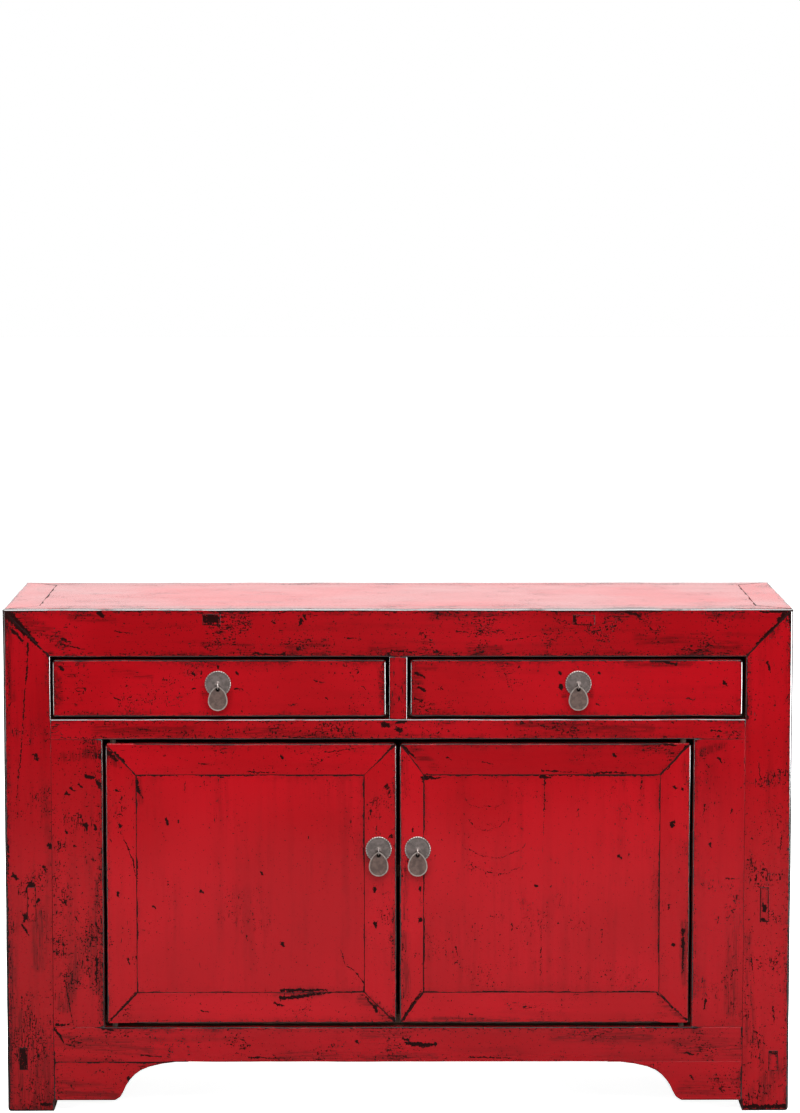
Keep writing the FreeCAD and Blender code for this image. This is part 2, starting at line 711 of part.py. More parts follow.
def door(side):
    front = through("front", "0", "door_thickness")[0]
    lock_width = f"{side}_lock_stile_width"
    # The frame is drawn with its hinge stile at x = 0
    hinge_points, lock_points = (
        [("0", "0"), (width, "door_rail_width"), (width, "door_height - door_rail_width"),
         ("0", "door_height")]
        for width in ("hinge_stile_width", lock_width))
    low_rail = [("0", "0"), ("door_width", "0"), (f"door_width - {lock_width}", "door_rail_width"),
                ("hinge_stile_width", "door_rail_width")]
    high_rail = [("hinge_stile_width", "0"), (f"door_width - {lock_width}", "0"),
                 ("door_width", "door_rail_width"), ("0", "door_rail_width")]
    if side == "left":
        lock_points = flipped(lock_points, lock_width)
    else:
        hinge_points = flipped(hinge_points, "hinge_stile_width")
        low_rail = flipped(low_rail, "door_width")
        high_rail = flipped(high_rail, "door_width")
    hinge_low = across(side, "door_outer - hinge_stile_width", "door_outer")[0]
    lock_low = across(side, "door_inner", f"door_inner + {lock_width}")[0]
    door_low = across(side, "door_inner", "door_outer")[0]

    def panel_plate(name, reach, near, far):
        return box(name, across(side, f"door_inner + {lock_width} - ({reach})",
                                f"door_outer - hinge_stile_width + ({reach})"),
                   through("front", near, far),
                   (f"door_bottom + door_rail_width - ({reach})",
                    f"door_height - 2 * door_rail_width + 2 * ({reach})"))

    tongue_far = "door_tongue_drop + tongue_thickness"
    slab = panel_plate(f"door_{side}_slab", "0", "0", "door_panel_thickness")
    tongue = panel_plate(f"door_{side}_tongue", "tongue_length - expansion_gap", "door_tongue_drop",
                         tongue_far)
    groove = panel_plate(f"door_{side}_groove", "tongue_length", "door_tongue_drop", tongue_far)
    keep(f"door_{side}_panel", join(f"door_{side}_panel_joined", [slab, tongue]))
    batten = box(f"door_{side}_batten_bar",
                 across(side, f"door_inner + {lock_width} - door_batten_tenon",
                        "door_outer - hinge_stile_width + door_batten_tenon"),
                 through("front", "door_panel_thickness", "door_thickness"),
                 ("door_bottom + (door_height - door_batten_width) / 2", "door_batten_width"))
    keep(f"door_{side}_batten", batten)

    centre = f"{SIGN[side]}door_plate_offset"
    hole = shank_hole(f"door_{side}_pin_hole", centre, "door_plate_level", "door_thickness")
    lock = prism(f"door_{side}_lock_blank", "XZ_Plane", lock_points, "door_thickness",
                 (lock_low, front, "door_bottom"))
    keep(f"door_{side}_lock_stile", carve(f"door_{side}_lock_cut", lock, [groove, batten, hole]))
    hinge = prism(f"door_{side}_hinge_blank", "XZ_Plane", hinge_points, "door_thickness",
                  (hinge_low, front, "door_bottom"))
    axis = (f"{SIGN[side]}pivot_offset", "front_face + pivot_face_offset")
    # The pivots are round pegs that pass through the mitred ends of the rails into the stile
    lower = rod(f"door_{side}_lower_pivot", "pivot_radius",
                "lower_pivot_depth + door_bottom_gap + pivot_root",
                (*axis, "bottom_rail_top - lower_pivot_depth"))
    upper = rod(f"door_{side}_upper_pivot", "pivot_radius",
                "pivot_root + door_top_gap + upper_pivot_depth", (*axis, "door_top - pivot_root"))
    lower_hole = rod(f"door_{side}_lower_peg_hole", "pivot_radius + pivot_clearance",
                     "overrun + pivot_root", (*axis, "door_bottom - overrun"))
    upper_hole = rod(f"door_{side}_upper_peg_hole", "pivot_radius + pivot_clearance",
                     "overrun + pivot_root", (*axis, "door_top - pivot_root"))
    grooved = carve(f"door_{side}_hinge_cut", hinge, [groove, batten])
    keep(f"door_{side}_hinge_stile", join(f"door_{side}_hinge_joined", [grooved, lower, upper]))
    for level, points, low, peg_hole in (
            ("bottom", low_rail, "door_bottom", lower_hole),
            ("top", high_rail, "door_top - door_rail_width", upper_hole)):
        rail = prism(f"door_{side}_{level}_blank", "XZ_Plane", points, "door_thickness",
                     (door_low, front, low))
        keep(f"door_{side}_{level}_rail", carve(f"door_{side}_{level}_cut", rail, [groove, peg_hole]))
    hardware(f"door_{side}", centre, "door_plate_level", "door_thickness")


def drawer(side):
    inner_wall = "drawer_side_inner + drawer_side_thickness"
    outer_wall = "drawer_side_outer - drawer_side_thickness"
    side_deep = through("front", "drawer_front_thickness - drawer_side_lap", "drawer_depth")
    walls = [box(f"drawer_{side}_side_{name}", across(side, near, far), side_deep,
                 ("drawer_low", "drawer_side_height"))
             for name, near, far in (("inner", "drawer_side_inner", inner_wall),
                                     ("outer", outer_wall, "drawer_side_outer"))]
    bottom = box(f"drawer_{side}_bottom_board",
                 across(side, f"{inner_wall} - drawer_groove", f"{outer_wall} + drawer_groove"),
                 through("front", "drawer_front_thickness - drawer_groove",
                         "drawer_depth - drawer_back_thickness + drawer_groove"),
                 ("drawer_low + drawer_bottom_rise", "drawer_bottom_thickness"))
    keep(f"drawer_{side}_bottom", bottom)
    keep(f"drawer_{side}_sides", carve(f"drawer_{side}_sides_cut",
                                       join(f"drawer_{side}_sides_joined", walls), [bottom]))
    back = box(f"drawer_{side}_back_board", across(side, inner_wall, outer_wall),
               through("front", "drawer_depth - drawer_back_thickness", "drawer_depth"),
               ("drawer_low", "drawer_side_height"))
    keep(f"drawer_{side}_back", carve(f"drawer_{side}_back_cut", back, [bottom]))
    centre = f"{SIGN[side]}drawer_plate_offset"
    front = box(f"drawer_{side}_front_board", across(side, "drawer_inner", "drawer_outer"),
                through("front", "0", "drawer_front_thickness"), ("drawer_low", "drawer_front_height"))
    hole = shank_hole(f"drawer_{side}_pin_hole", centre, "drawer_plate_level", "drawer_front_thickness")
    keep(f"drawer_{side}_front", carve(f"drawer_{side}_front_cut", front, [*walls, bottom, hole]))
    hardware(f"drawer_{side}", centre, "drawer_plate_level", "drawer_front_thickness")


# Back plates, eye pins and pulls


def shank_hole(name, centre, level, thickness):
    return rod(name, "shank_hole_radius", f"{thickness} + 2 * overrun",
               (centre, "front_face - overrun", level), INWARD)


def draw_circle(sketch, x, y, radius):
    centre = FreeCAD.Vector(value(x), value(y), 0)
    ring = sketch.addGeometry(Part.Circle(centre, FreeCAD.Vector(0, 0, 1), value(radius)), False)
    hold(sketch, "DistanceX", ring, 3, x, -2)
    hold(sketch, "DistanceY", ring, 3, y, -1)
    rule = sketch.addConstraint(Sketcher.Constraint("Radius", ring, value(radius)))
    bind(sketch, f"Constraints[{rule}]", radius)


def round_pocket(body, name, x, y, radius):
    """A round hole through the whole body, square to its XY plane."""
    sketch = sketch_on(body, "XY_Plane", f"{name}_circle", [])
    draw_circle(sketch, x, y, radius)
    pocket = body.newObject("PartDesign::Pocket", name)
    pocket.Profile = sketch
    pocket.Type = "ThroughAll"
    pocket.Midplane = True
    return pocket


def front_body(name, centre, out, level):
    """A body whose own XY plane faces forwards: its Y is up and its Z comes out of the front."""
    body = doc.addObject("PartDesign::Body", name)
    body.Placement.Rotation = OUTWARD
    place(body, (centre, f"front_face - ({out})", level))
    return body


def back_plate(name, centre, level):
    """A thin round plate with a raised, fluted rim and a low boss round the pin."""
    body = front_body(f"{name}_body", centre, "0", level)
    rim_top = "plate_thickness + plate_rim_rise"
    profile = [("shank_hole_radius", "0"), ("plate_radius", "0"),
               ("plate_radius", f"{rim_top} - plate_rim_bevel"),
               ("plate_radius - plate_rim_bevel", rim_top),
               ("plate_radius - plate_rim_width + plate_rim_bevel", rim_top),
               ("plate_radius - plate_rim_width", "plate_thickness"),
               ("plate_boss_radius", "plate_thickness"),
               ("shank_hole_radius", "plate_thickness + plate_boss_rise")]
    turned = body.newObject("PartDesign::Revolution", f"{name}_turned")
    turned.Profile = sketch_on(body, "XZ_Plane", f"{name}_profile", profile)
    turned.ReferenceAxis = (turned.Profile[0], ["V_Axis"])
    turned.Angle = 360
    flute = round_pocket(body, f"{name}_flute", "plate_radius + plate_flute_radius - plate_flute_bite",
                         "0", "plate_flute_radius")
    flutes = body.newObject("PartDesign::PolarPattern", f"{name}_flutes")
    flutes.Originals = [flute]
    flutes.Axis = (flute.Profile[0], ["N_Axis"])
    flutes.Angle = 360
    flutes.Occurrences = FLUTE_COUNT
    body.Tip = flutes
    keep(name, body)


def eye_pin(name, centre, level, thickness):
    """A split pin: an eye in front, a shank through plate and wood, and two legs bent over behind."""
    eye = doc.addObject("Part::Torus", f"{name}_eye")
    eye.Placement.Rotation = SIDEWAYS
    bind(eye, "Radius1", "eye_radius")
    bind(eye, "Radius2", "wire_radius")
    place(eye, (centre, "front_face - eye_out", f"{level} - eye_drop"))
    shank = rod(f"{name}_shank", "shank_radius", f"eye_rear + {thickness} + clinch_thickness",
                (centre, "front_face - (eye_rear)", level), INWARD)
    legs = box(f"{name}_legs", (f"{centre} - clinch_width / 2", "clinch_width"),
               (f"front_face + {thickness}", "clinch_thickness"),
               (f"{level} - clinch_length", "2 * clinch_length"))
    keep(name, join(f"{name}_joined", [eye, shank, legs]))


def teardrop(inset):
    """The outline of a pull from its tip, clockwise, or a line set in from it all round."""
    tip = f"pull_tip_radius - {inset}"
    wide = f"pull_half_width - {inset}"
    shoulder_x = f"({tip}) * (pull_side_radius - pull_half_width) / pull_shoulder_reach"
    shoulder_y = (f"({tip}) * (pull_round_drop - pull_tip_radius) / pull_shoulder_reach"
                  f" - pull_tip_radius")
    side_arc = (f"pull_side_radius - {inset}", -1)
    # The shoulders lie where the tip's arc runs into the arcs of the sides
    return [("0", f"-({inset})", tip, -1), (shoulder_x, shoulder_y, *side_arc),
            (wide, "-pull_round_drop", wide, -1),
            ("0", f"-pull_round_drop - ({wide})", wide, -1),
            (f"-({wide})", "-pull_round_drop", *side_arc),
            (f"-({shoulder_x})", shoulder_y, tip, -1)]


def pull(name, centre, level):
    """A flat cast teardrop with a raised rim, hung by its hole on the eye."""
    body = front_body(f"{name}_body", centre, "eye_out",
                      f"{level} - eye_drop - eye_radius - pull_hang + pull_hole_drop")
    pad = body.newObject("PartDesign::Pad", f"{name}_pad")
    pad.Profile = sketch_on(body, "XY_Plane", f"{name}_outline", teardrop("0"))
    bind(pad, "Length", "pull_thickness")
    pad.Midplane = True
    field = sketch_on(body, "XY_Plane", f"{name}_field_outline", teardrop("pull_rim_width"))
    bind(field, ".AttachmentOffset.Base.z", "pull_thickness / 2")
    pocket = body.newObject("PartDesign::Pocket", f"{name}_field")
    pocket.Profile = field
    bind(pocket, "Length", "pull_rim_rise")
    round_pocket(body, f"{name}_hole", "0", "-pull_hole_drop", "pull_hole_radius")
    keep(name, body)


def hardware(name, centre, level, thickness):
    back_plate(f"{name}_plate", centre, level)
    eye_pin(f"{name}_pin", centre, level, thickness)
    pull(f"{name}_pull", centre, level)


def export():
    broken = [thing.Name for thing in doc.Objects if {"Invalid", "Error"} & set(thing.State)]
    for label, thing in subparts.items():
        if thing.Shape.isNull() or not thing.Shape.isValid() or not thing.Shape.Solids:
            broken.append(label)
    if broken:
        raise RuntimeError(f"failed: {broken}")
    os.makedirs("parts", exist_ok=True)
    for label, thing in subparts.items():
        thing.Shape.exportStep(f"parts/{label}.step")
        print(f"{label}: {len(thing.Shape.Solids)} solids, {thing.Shape.Volume:.0f} mm3")


fill_sheet()
build_carcass()
for part_side in SIDES:
    door(part_side)
for part_side in SIDES:
    drawer(part_side)
doc.recompute()
export()
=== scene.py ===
import json
import math

import bmesh
import bpy
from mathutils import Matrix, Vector, noise

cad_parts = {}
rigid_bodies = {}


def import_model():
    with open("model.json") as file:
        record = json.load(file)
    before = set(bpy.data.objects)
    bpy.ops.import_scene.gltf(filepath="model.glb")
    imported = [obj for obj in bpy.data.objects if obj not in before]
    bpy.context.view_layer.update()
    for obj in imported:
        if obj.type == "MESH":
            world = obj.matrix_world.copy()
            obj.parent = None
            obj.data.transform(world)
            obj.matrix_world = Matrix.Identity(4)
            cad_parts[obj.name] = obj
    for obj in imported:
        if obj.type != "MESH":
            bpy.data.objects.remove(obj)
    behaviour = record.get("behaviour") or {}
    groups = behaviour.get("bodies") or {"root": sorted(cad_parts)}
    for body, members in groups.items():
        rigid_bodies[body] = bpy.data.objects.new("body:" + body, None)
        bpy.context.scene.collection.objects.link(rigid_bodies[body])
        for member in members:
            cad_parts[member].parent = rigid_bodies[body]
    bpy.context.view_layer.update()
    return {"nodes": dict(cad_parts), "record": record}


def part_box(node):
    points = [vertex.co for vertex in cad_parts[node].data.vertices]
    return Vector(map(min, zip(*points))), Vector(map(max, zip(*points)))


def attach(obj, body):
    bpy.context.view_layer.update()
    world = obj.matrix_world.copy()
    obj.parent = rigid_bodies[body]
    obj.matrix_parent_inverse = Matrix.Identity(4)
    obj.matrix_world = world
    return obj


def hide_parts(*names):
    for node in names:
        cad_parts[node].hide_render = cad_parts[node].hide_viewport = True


bpy.ops.object.select_all(action="SELECT")
bpy.ops.object.delete()

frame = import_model()
nodes = frame["nodes"]
print("loaded", len(nodes), "nodes")

mm = 0.001
legLow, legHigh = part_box("leg_front_right")

# the planes that the lacquer was brushed on, and how deep it reaches, in metres
skin = {"front": legLow.y, "side": legHigh.x, "top": legHigh.z,
        "depth": 0.011, "ragged": 0.006, "fade": 0.001}


# small helpers for shader trees

def addNode(tree, kind, links=None, **settings):
    node = tree.nodes.new(kind)
    for key, value in settings.items():
        setattr(node, key, value)
    for socket, value in (links or {}).items():
        plug(tree, node, socket, value)
    return node


def plug(tree, node, socket, value):
    if isinstance(value, bpy.types.NodeSocket):
        tree.links.new(value, node.inputs[socket])
    elif value is not None:
        node.inputs[socket].default_value = value


def calc(tree, operation, *values, clamp=False):
    links = dict(enumerate(values))
    return addNode(tree, "ShaderNodeMath", links, operation=operation, use_clamp=clamp).outputs[0]


def vectorCalc(tree, operation, *values):
    node = addNode(tree, "ShaderNodeVectorMath", dict(enumerate(values)), operation=operation)
    return node.outputs["Value" if operation in ("DOT_PRODUCT", "LENGTH", "DISTANCE") else "Vector"]


def ramp(tree, value, low, high, atLow=0.0, atHigh=1.0):
    links = {"Value": value, "From Min": low, "From Max": high, "To Min": atLow, "To Max": atHigh}
    node = addNode(tree, "ShaderNodeMapRange", links, interpolation_type="SMOOTHSTEP")
    return node.outputs["Result"]


def times(tree, first, *others):
    for other in others:
        first = calc(tree, "MULTIPLY", first, other)
    return first


def scaleVector(tree, vector, factor):
    links = {0: vector, "Scale": factor}
    return addNode(tree, "ShaderNodeVectorMath", links, operation="SCALE").outputs[0]


def objectPlace(tree):
    return addNode(tree, "ShaderNodeTexCoord").outputs["Object"]


def splitAxes(tree, vector):
    return addNode(tree, "ShaderNodeSeparateXYZ", {0: vector}).outputs


def blendColour(tree, factor, first, second):
    return addNode(tree, "ShaderNodeMix", {0: factor, 6: first, 7: second}, data_type="RGBA").outputs[2]


def blendValue(tree, factor, first, second):
    return addNode(tree, "ShaderNodeMix", {0: factor, 2: first, 3: second}).outputs[0]


def grainNoise(tree, vector, scale, detail=2.0, roughness=0.5):
    links = {"Vector": vector, "Scale": scale, "Detail": detail, "Roughness": roughness}
    return addNode(tree, "ShaderNodeTexNoise", links).outputs[0]


def newGroup(name, inputs, outputs):
    group = bpy.data.node_groups.new(name, "ShaderNodeTree")
    for label, (kind, value) in inputs.items():
        socket = group.interface.new_socket(name=label, in_out="INPUT", socket_type="NodeSocket" + kind)
        socket.default_value = value
    for label, kind in outputs.items():
        group.interface.new_socket(name=label, in_out="OUTPUT", socket_type="NodeSocket" + kind)
    return group, group.nodes.new("NodeGroupInput").outputs, group.nodes.new("NodeGroupOutput")


def useGroup(tree, group, **links):
    node = tree.nodes.new("ShaderNodeGroup")
    node.node_tree = group
    for socket, value in links.items():
        plug(tree, node, socket, value)
    return node.outputs


def rgb(red, green, blue):
    return (red, green, blue, 1.0)


def shaded(colour, share):
    return rgb(*(part * share for part in colour[:3]))


# shared effects

def makeEdgeDistance():
    # how far a point on a board's surface is from the nearest edge of its box
    group, given, out = newGroup(
        "edgeDistance", {"Low": ("Vector", (0, 0, 0)), "High": ("Vector", (1, 1, 1))}, {"Edge": "Float"})
    place = objectPlace(group)
    fromLow = vectorCalc(group, "SUBTRACT", place, given["Low"])
    fromHigh = vectorCalc(group, "SUBTRACT", given["High"], place)
    axes = splitAxes(group, vectorCalc(group, "MINIMUM", fromLow, fromHigh))
    smaller = calc(group, "MINIMUM", axes[0], axes[1])
    larger = calc(group, "MAXIMUM", axes[0], axes[1])
    middle = calc(group, "MAXIMUM", smaller, calc(group, "MINIMUM", larger, axes[2]))
    plug(group, out, "Edge", calc(group, "MAXIMUM", middle, 0.0))
    return group


def makeLineDistance():
    # how far a point is from a joint's plane
    group, given, out = newGroup(
        "lineDistance", {"Point": ("Vector", (0, 0, 0)), "Normal": ("Vector", (1, 0, 0))}, {"Line": "Float"})
    away = vectorCalc(group, "SUBTRACT", objectPlace(group), given["Point"])
    plug(group, out, "Line", calc(group, "ABSOLUTE", vectorCalc(group, "DOT_PRODUCT", away, given["Normal"])))
    return group


def makeMark():
    # one chip, crack or smear between two points, wide at its start and narrow at its end
    # each mark waits for the one before it, because Cycles runs out of room when it works on all at once
    group, given, out = newGroup(
        "mark", {"Before": ("Float", 0.0), "Place": ("Vector", (0, 0, 0)), "Start": ("Vector", (0, 0, 0)),
                 "Run": ("Vector", (0, 0, 1)), "Wide": ("Float", 0.002), "Narrow": ("Float", 0.001)},
        {"Mask": "Float"})
    tie = (1e-7, 1e-7, 1e-7)      # far too small to move the mark
    place = vectorCalc(group, "MULTIPLY_ADD", given["Before"], tie, given["Place"])
    away = vectorCalc(group, "SUBTRACT", place, given["Start"])
    along = calc(group, "DIVIDE", vectorCalc(group, "DOT_PRODUCT", away, given["Run"]),
                 vectorCalc(group, "DOT_PRODUCT", given["Run"], given["Run"]), clamp=True)
    reach = vectorCalc(group, "DISTANCE", away, scaleVector(group, given["Run"], along))
    change = calc(group, "SUBTRACT", given["Narrow"], given["Wide"])
    radius = calc(group, "MULTIPLY_ADD", along, change, given["Wide"])
    own = ramp(group, calc(group, "DIVIDE", reach, radius), 0.3, 1.3, 1.0, 0.0)
    plug(group, out, "Mask", calc(group, "MAXIMUM", given["Before"], own))
    return group


def makeSkin():
    # one on the outer faces that were lacquered, nothing inside the carcass
    group, given, out = newGroup("lacqueredSkin", {"Place": ("Vector", (0, 0, 0))}, {"Skin": "Float"})
    axes = splitAxes(group, given["Place"])
    front = calc(group, "SUBTRACT", axes[1], skin["front"])
    side = calc(group, "SUBTRACT", skin["side"], calc(group, "ABSOLUTE", axes[0]))
    top = calc(group, "SUBTRACT", skin["top"], axes[2])
    nearest = calc(group, "MINIMUM", front, calc(group, "MINIMUM", side, top))
    ragged = grainNoise(group, given["Place"], 60.0, 3.0)
    nearest = calc(group, "MULTIPLY_ADD", ragged, skin["ragged"], nearest)
    limit = skin["depth"] + skin["ragged"] / 2
    plug(group, out, "Skin", ramp(group, nearest, limit - skin["fade"], limit + skin["fade"], 1.0, 0.0))
    return group


# scale, detail and roughness of each pattern in the wood and in the lacquer
woodPatterns = {"broad": (38.0, 5.0, 0.65), "fine": (260.0, 3.0, 0.6), "blotch": (7.0, 3.0, 0.6)}
lacquerPatterns = {
    "tone": (4.0, 2.0, 0.5), "blotch": (16.0, 5.0, 0.62), "ragged": (170.0, 5.0, 0.72),
    "brush": (60.0, 5.0, 0.7), "hair": (380.0, 3.0, 0.6), "strokes": (300.0, 3.0, 0.6),
    "pits": (330.0, 2.0, 0.5),
}
lacquerWear = {
    "edgeReach": 0.026,         # how far from an edge or a joint chips gather, in metres
    "waxReach": 0.020,          # how far from an edge dark wax was rubbed in
    "crazing": 75.0,            # scale of the crazed cells
    "crack": (0.012, 0.045),    # width of the cracks between them, as shares of a cell
}


def makeOldWood():
    # dry elm, darkened by age: colour, roughness and grain
    group, given, out = newGroup(
        "oldWood", {"Place": ("Vector", (0, 0, 0)), "Along": ("Vector", (1, 1, 1)),
                    "Light": ("Color", rgb(0.13, 0.075, 0.045)), "Dark": ("Color", rgb(0.03, 0.018, 0.012))},
        {"Colour": "Color", "Roughness": "Float", "Height": "Float"})
    run = vectorCalc(group, "MULTIPLY", given["Place"], given["Along"])
    broad = grainNoise(group, run, *woodPatterns["broad"])
    fine = grainNoise(group, run, *woodPatterns["fine"])
    blotch = grainNoise(group, given["Place"], *woodPatterns["blotch"])
    tone = calc(group, "ADD", times(group, broad, 0.68), times(group, blotch, 0.32))
    colour = blendColour(group, ramp(group, tone, 0.33, 0.68), given["Dark"], given["Light"])
    pores = ramp(group, fine, 0.56, 0.7)
    colour = blendColour(group, times(group, pores, 0.75), colour, given["Dark"])
    plug(group, out, "Colour", colour)
    plug(group, out, "Roughness", ramp(group, blotch, 0.2, 0.8, 0.62, 0.85))
    plug(group, out, "Height", calc(group, "MULTIPLY_ADD", pores, -0.25, times(group, broad, 0.5)))
    return group


def makeWornLacquer():
    # red lacquer rubbed through to a dark ground; height is in millimetres
    group, given, out = newGroup(
        "wornLacquer",
        {"Place": ("Vector", (0, 0, 0)), "Along": ("Vector", (1, 1, 1)), "Edge": ("Float", 1.0),
         "Free": ("Float", 1.0), "Shine": ("Float", 1.0), "Line": ("Float", 1.0),
         "Marks": ("Float", 0.0), "Smears": ("Float", 0.0), "EdgeWear": ("Float", 0.0035),
         "LineWear": ("Float", 0.0015), "Dirt": ("Float", 0.5), "Specks": ("Float", 0.5),
         "Streaks": ("Float", 0.5), "Gloss": ("Float", 0.16), "Relief": ("Float", 1.0),
         "Bright": ("Color", rgb(0.45, 0.006, 0.012)), "Deep": ("Color", rgb(0.30, 0.004, 0.008)),
         "Ground": ("Color", rgb(0.014, 0.009, 0.009))},
        {"Colour": "Color", "Roughness": "Float", "Height": "Float", "Polish": "Float"})
    place = given["Place"]
    run = vectorCalc(group, "MULTIPLY", place, given["Along"])
    short = vectorCalc(group, "MULTIPLY", vectorCalc(group, "ADD", given["Along"], (0.16, 0.16, 0.16)), place)
    tone, blotch, ragged, pits = (grainNoise(group, place, *lacquerPatterns[word])
                                  for word in ("tone", "blotch", "ragged", "pits"))
    brush, hair = (grainNoise(group, run, *lacquerPatterns[word]) for word in ("brush", "hair"))
    strokes = grainNoise(group, short, *lacquerPatterns["strokes"])
    off = calc(group, "SUBTRACT", ragged, 0.5)

    # bare edges: wide where nothing touches the edge, a thin broken line at a joint
    reach = times(group, given["EdgeWear"], calc(group, "MAXIMUM", given["Free"], 0.13))
    rub = times(group, reach, ramp(group, blotch, 0.38, 0.64, 0.82, 1.4))
    edge = calc(group, "MULTIPLY_ADD", off, times(group, rub, 3.2), given["Edge"])
    bareEdge = ramp(group, calc(group, "DIVIDE", edge, rub), 0.75, 1.15, 1.0, 0.0)
    thin = times(group, given["LineWear"], ramp(group, blotch, 0.40, 0.60, 0.3, 1.4))
    line = calc(group, "MULTIPLY_ADD", off, times(group, thin, 3.0), given["Line"])
    bareLine = ramp(group, calc(group, "DIVIDE", line, thin), 0.6, 1.1, 1.0, 0.0)

    # chips and short strokes gather near edges and in a few patches
    exposed = ramp(group, given["Free"], 0.0, 0.5, 0.35, 1.0)
    nearest = calc(group, "MINIMUM", given["Edge"], given["Line"])
    nearEdge = ramp(group, nearest, 0.0, lacquerWear["edgeReach"], 1.0, 0.0)
    patches = ramp(group, blotch, 0.48, 0.64)
    gather = calc(group, "MAXIMUM", times(group, nearEdge, exposed, 0.75), patches)
    gather = calc(group, "MULTIPLY_ADD", given["Smears"], 0.3, gather)
    gather = times(group, gather, given["Specks"])
    sparse = calc(group, "MULTIPLY_ADD", given["Specks"], -0.08, 0.722)
    limit = ramp(group, gather, 0.0, 0.7, sparse, 0.57)
    chip = ramp(group, calc(group, "SUBTRACT", pits, limit), 0.0, 0.015)
    strokeLimit = ramp(group, gather, 0.0, 0.7, calc(group, "ADD", sparse, 0.02), 0.575)
    stroke = ramp(group, calc(group, "SUBTRACT", strokes, strokeLimit), 0.0, 0.02)
    hairLimit = ramp(group, times(group, blotch, given["Streaks"]), 0.1, 0.6, 0.76, 0.62)
    hairline = ramp(group, calc(group, "SUBTRACT", hair, hairLimit), 0.0, 0.05, 0.0, 0.7)

    # fine crazing in a few patches
    bent = vectorCalc(group, "ADD", place, scaleVector(group, (0.03, 0.03, 0.03), off))
    links = {"Vector": bent, "Scale": lacquerWear["crazing"]}
    cells = addNode(group, "ShaderNodeTexVoronoi", links, feature="DISTANCE_TO_EDGE").outputs["Distance"]
    speckled = calc(group, "MULTIPLY", given["Specks"], 1.6, clamp=True)
    crazed = times(group, ramp(group, cells, *lacquerWear["crack"], 1.0, 0.0),
                   ramp(group, blotch, 0.575, 0.64), ramp(group, strokes, 0.47, 0.55), speckled)

    marks = calc(group, "MULTIPLY_ADD", off, 2.2, given["Marks"])
    marks = calc(group, "MULTIPLY_ADD", calc(group, "SUBTRACT", pits, 0.5), 1.9, marks)
    marks = times(group, ramp(group, marks, 0.46, 0.60), ramp(group, given["Marks"], 0.0, 0.1))

    worn = calc(group, "MAXIMUM", calc(group, "MAXIMUM", bareEdge, bareLine), marks)
    worn = calc(group, "MAXIMUM", worn, calc(group, "MAXIMUM", chip, stroke))
    worn = calc(group, "MAXIMUM", worn, calc(group, "MAXIMUM", hairline, crazed))

    # dark wax rubbed into the surface beside the edges and along the brush strokes
    wax = times(group, ramp(group, given["Edge"], 0.0, lacquerWear["waxReach"], 1.0, 0.0),
                ramp(group, ragged, 0.40, 0.60), ramp(group, blotch, 0.40, 0.62, 0.15, 1.0))
    wax = calc(group, "MULTIPLY", wax, times(group, given["Dirt"], exposed), clamp=True)
    smoke = times(group, ramp(group, brush, 0.42, 0.68), ramp(group, blotch, 0.4, 0.62, 0.35, 1.0),
                  given["Streaks"])
    # smears darken the red in streaks; among them are the painted shadows beside the pulls
    streaky = times(group, calc(group, "ADD", brush, hair), 0.5)
    smearAndShadowFilm = times(group, given["Smears"], ramp(group, streaky, 0.43, 0.58, 0.15, 1.0))
    smoke = calc(group, "MAXIMUM", smoke, smearAndShadowFilm, clamp=True)

    colour = blendColour(group, ramp(group, tone, 0.38, 0.62), given["Deep"], given["Bright"])
    colour = blendColour(group, times(group, smoke, 0.55), colour, given["Ground"])
    colour = blendColour(group, times(group, wax, 0.8), colour, given["Ground"])
    colour = blendColour(group, worn, colour, given["Ground"])
    plug(group, out, "Colour", colour)
    dull = ramp(group, tone, 0.3, 0.7, 0.15, 0.22)
    dull = calc(group, "MULTIPLY_ADD", worn, 0.06, dull)
    dull = calc(group, "MULTIPLY_ADD", bareLine, 0.45, dull)
    plug(group, out, "Roughness", calc(group, "MULTIPLY_ADD", wax, 0.08, dull, clamp=True))
    height = calc(group, "MULTIPLY_ADD", brush, 0.10, times(group, worn, -0.08))
    height = calc(group, "MULTIPLY_ADD", blotch, times(group, given["Relief"], 0.45), height)
    plug(group, out, "Height", height)
    polish = ramp(group, calc(group, "DIVIDE", given["Edge"], reach), 0.7, 1.0, 1.0, 0.0)
    polish = times(group, polish, given["Shine"], ramp(group, blotch, 0.3, 0.5, 0.35, 1.0))
    # the red keeps some gloss, bare ground has none
    gloss = times(group, calc(group, "SUBTRACT", 1.0, worn), given["Gloss"])
    plug(group, out, "Polish", calc(group, "MAXIMUM", polish, gloss))
    return group


edgeDistance = makeEdgeDistance()
lineDistance = makeLineDistance()
markGroup = makeMark()
skinGroup = makeSkin()
oldWood = makeOldWood()
wornLacquer = makeWornLacquer()
print("made the shared effects")


# materials

# patterns are drawn out along the grain
alongGrain = {"X": (0.07, 1.0, 1.0), "Y": (1.0, 0.07, 1.0), "Z": (1.0, 1.0, 0.07)}


def newMaterial(name):
    material = bpy.data.materials.new(name)
    material.use_nodes = True
    tree = material.node_tree
    shader = tree.nodes["Principled BSDF"]
    return material, tree, shader


def giveBump(tree, shader, height):
    bump = addNode(tree, "ShaderNodeBump", {"Height": height, "Distance": mm, "Strength": 1.0})
    plug(tree, shader, "Normal", bump.outputs[0])


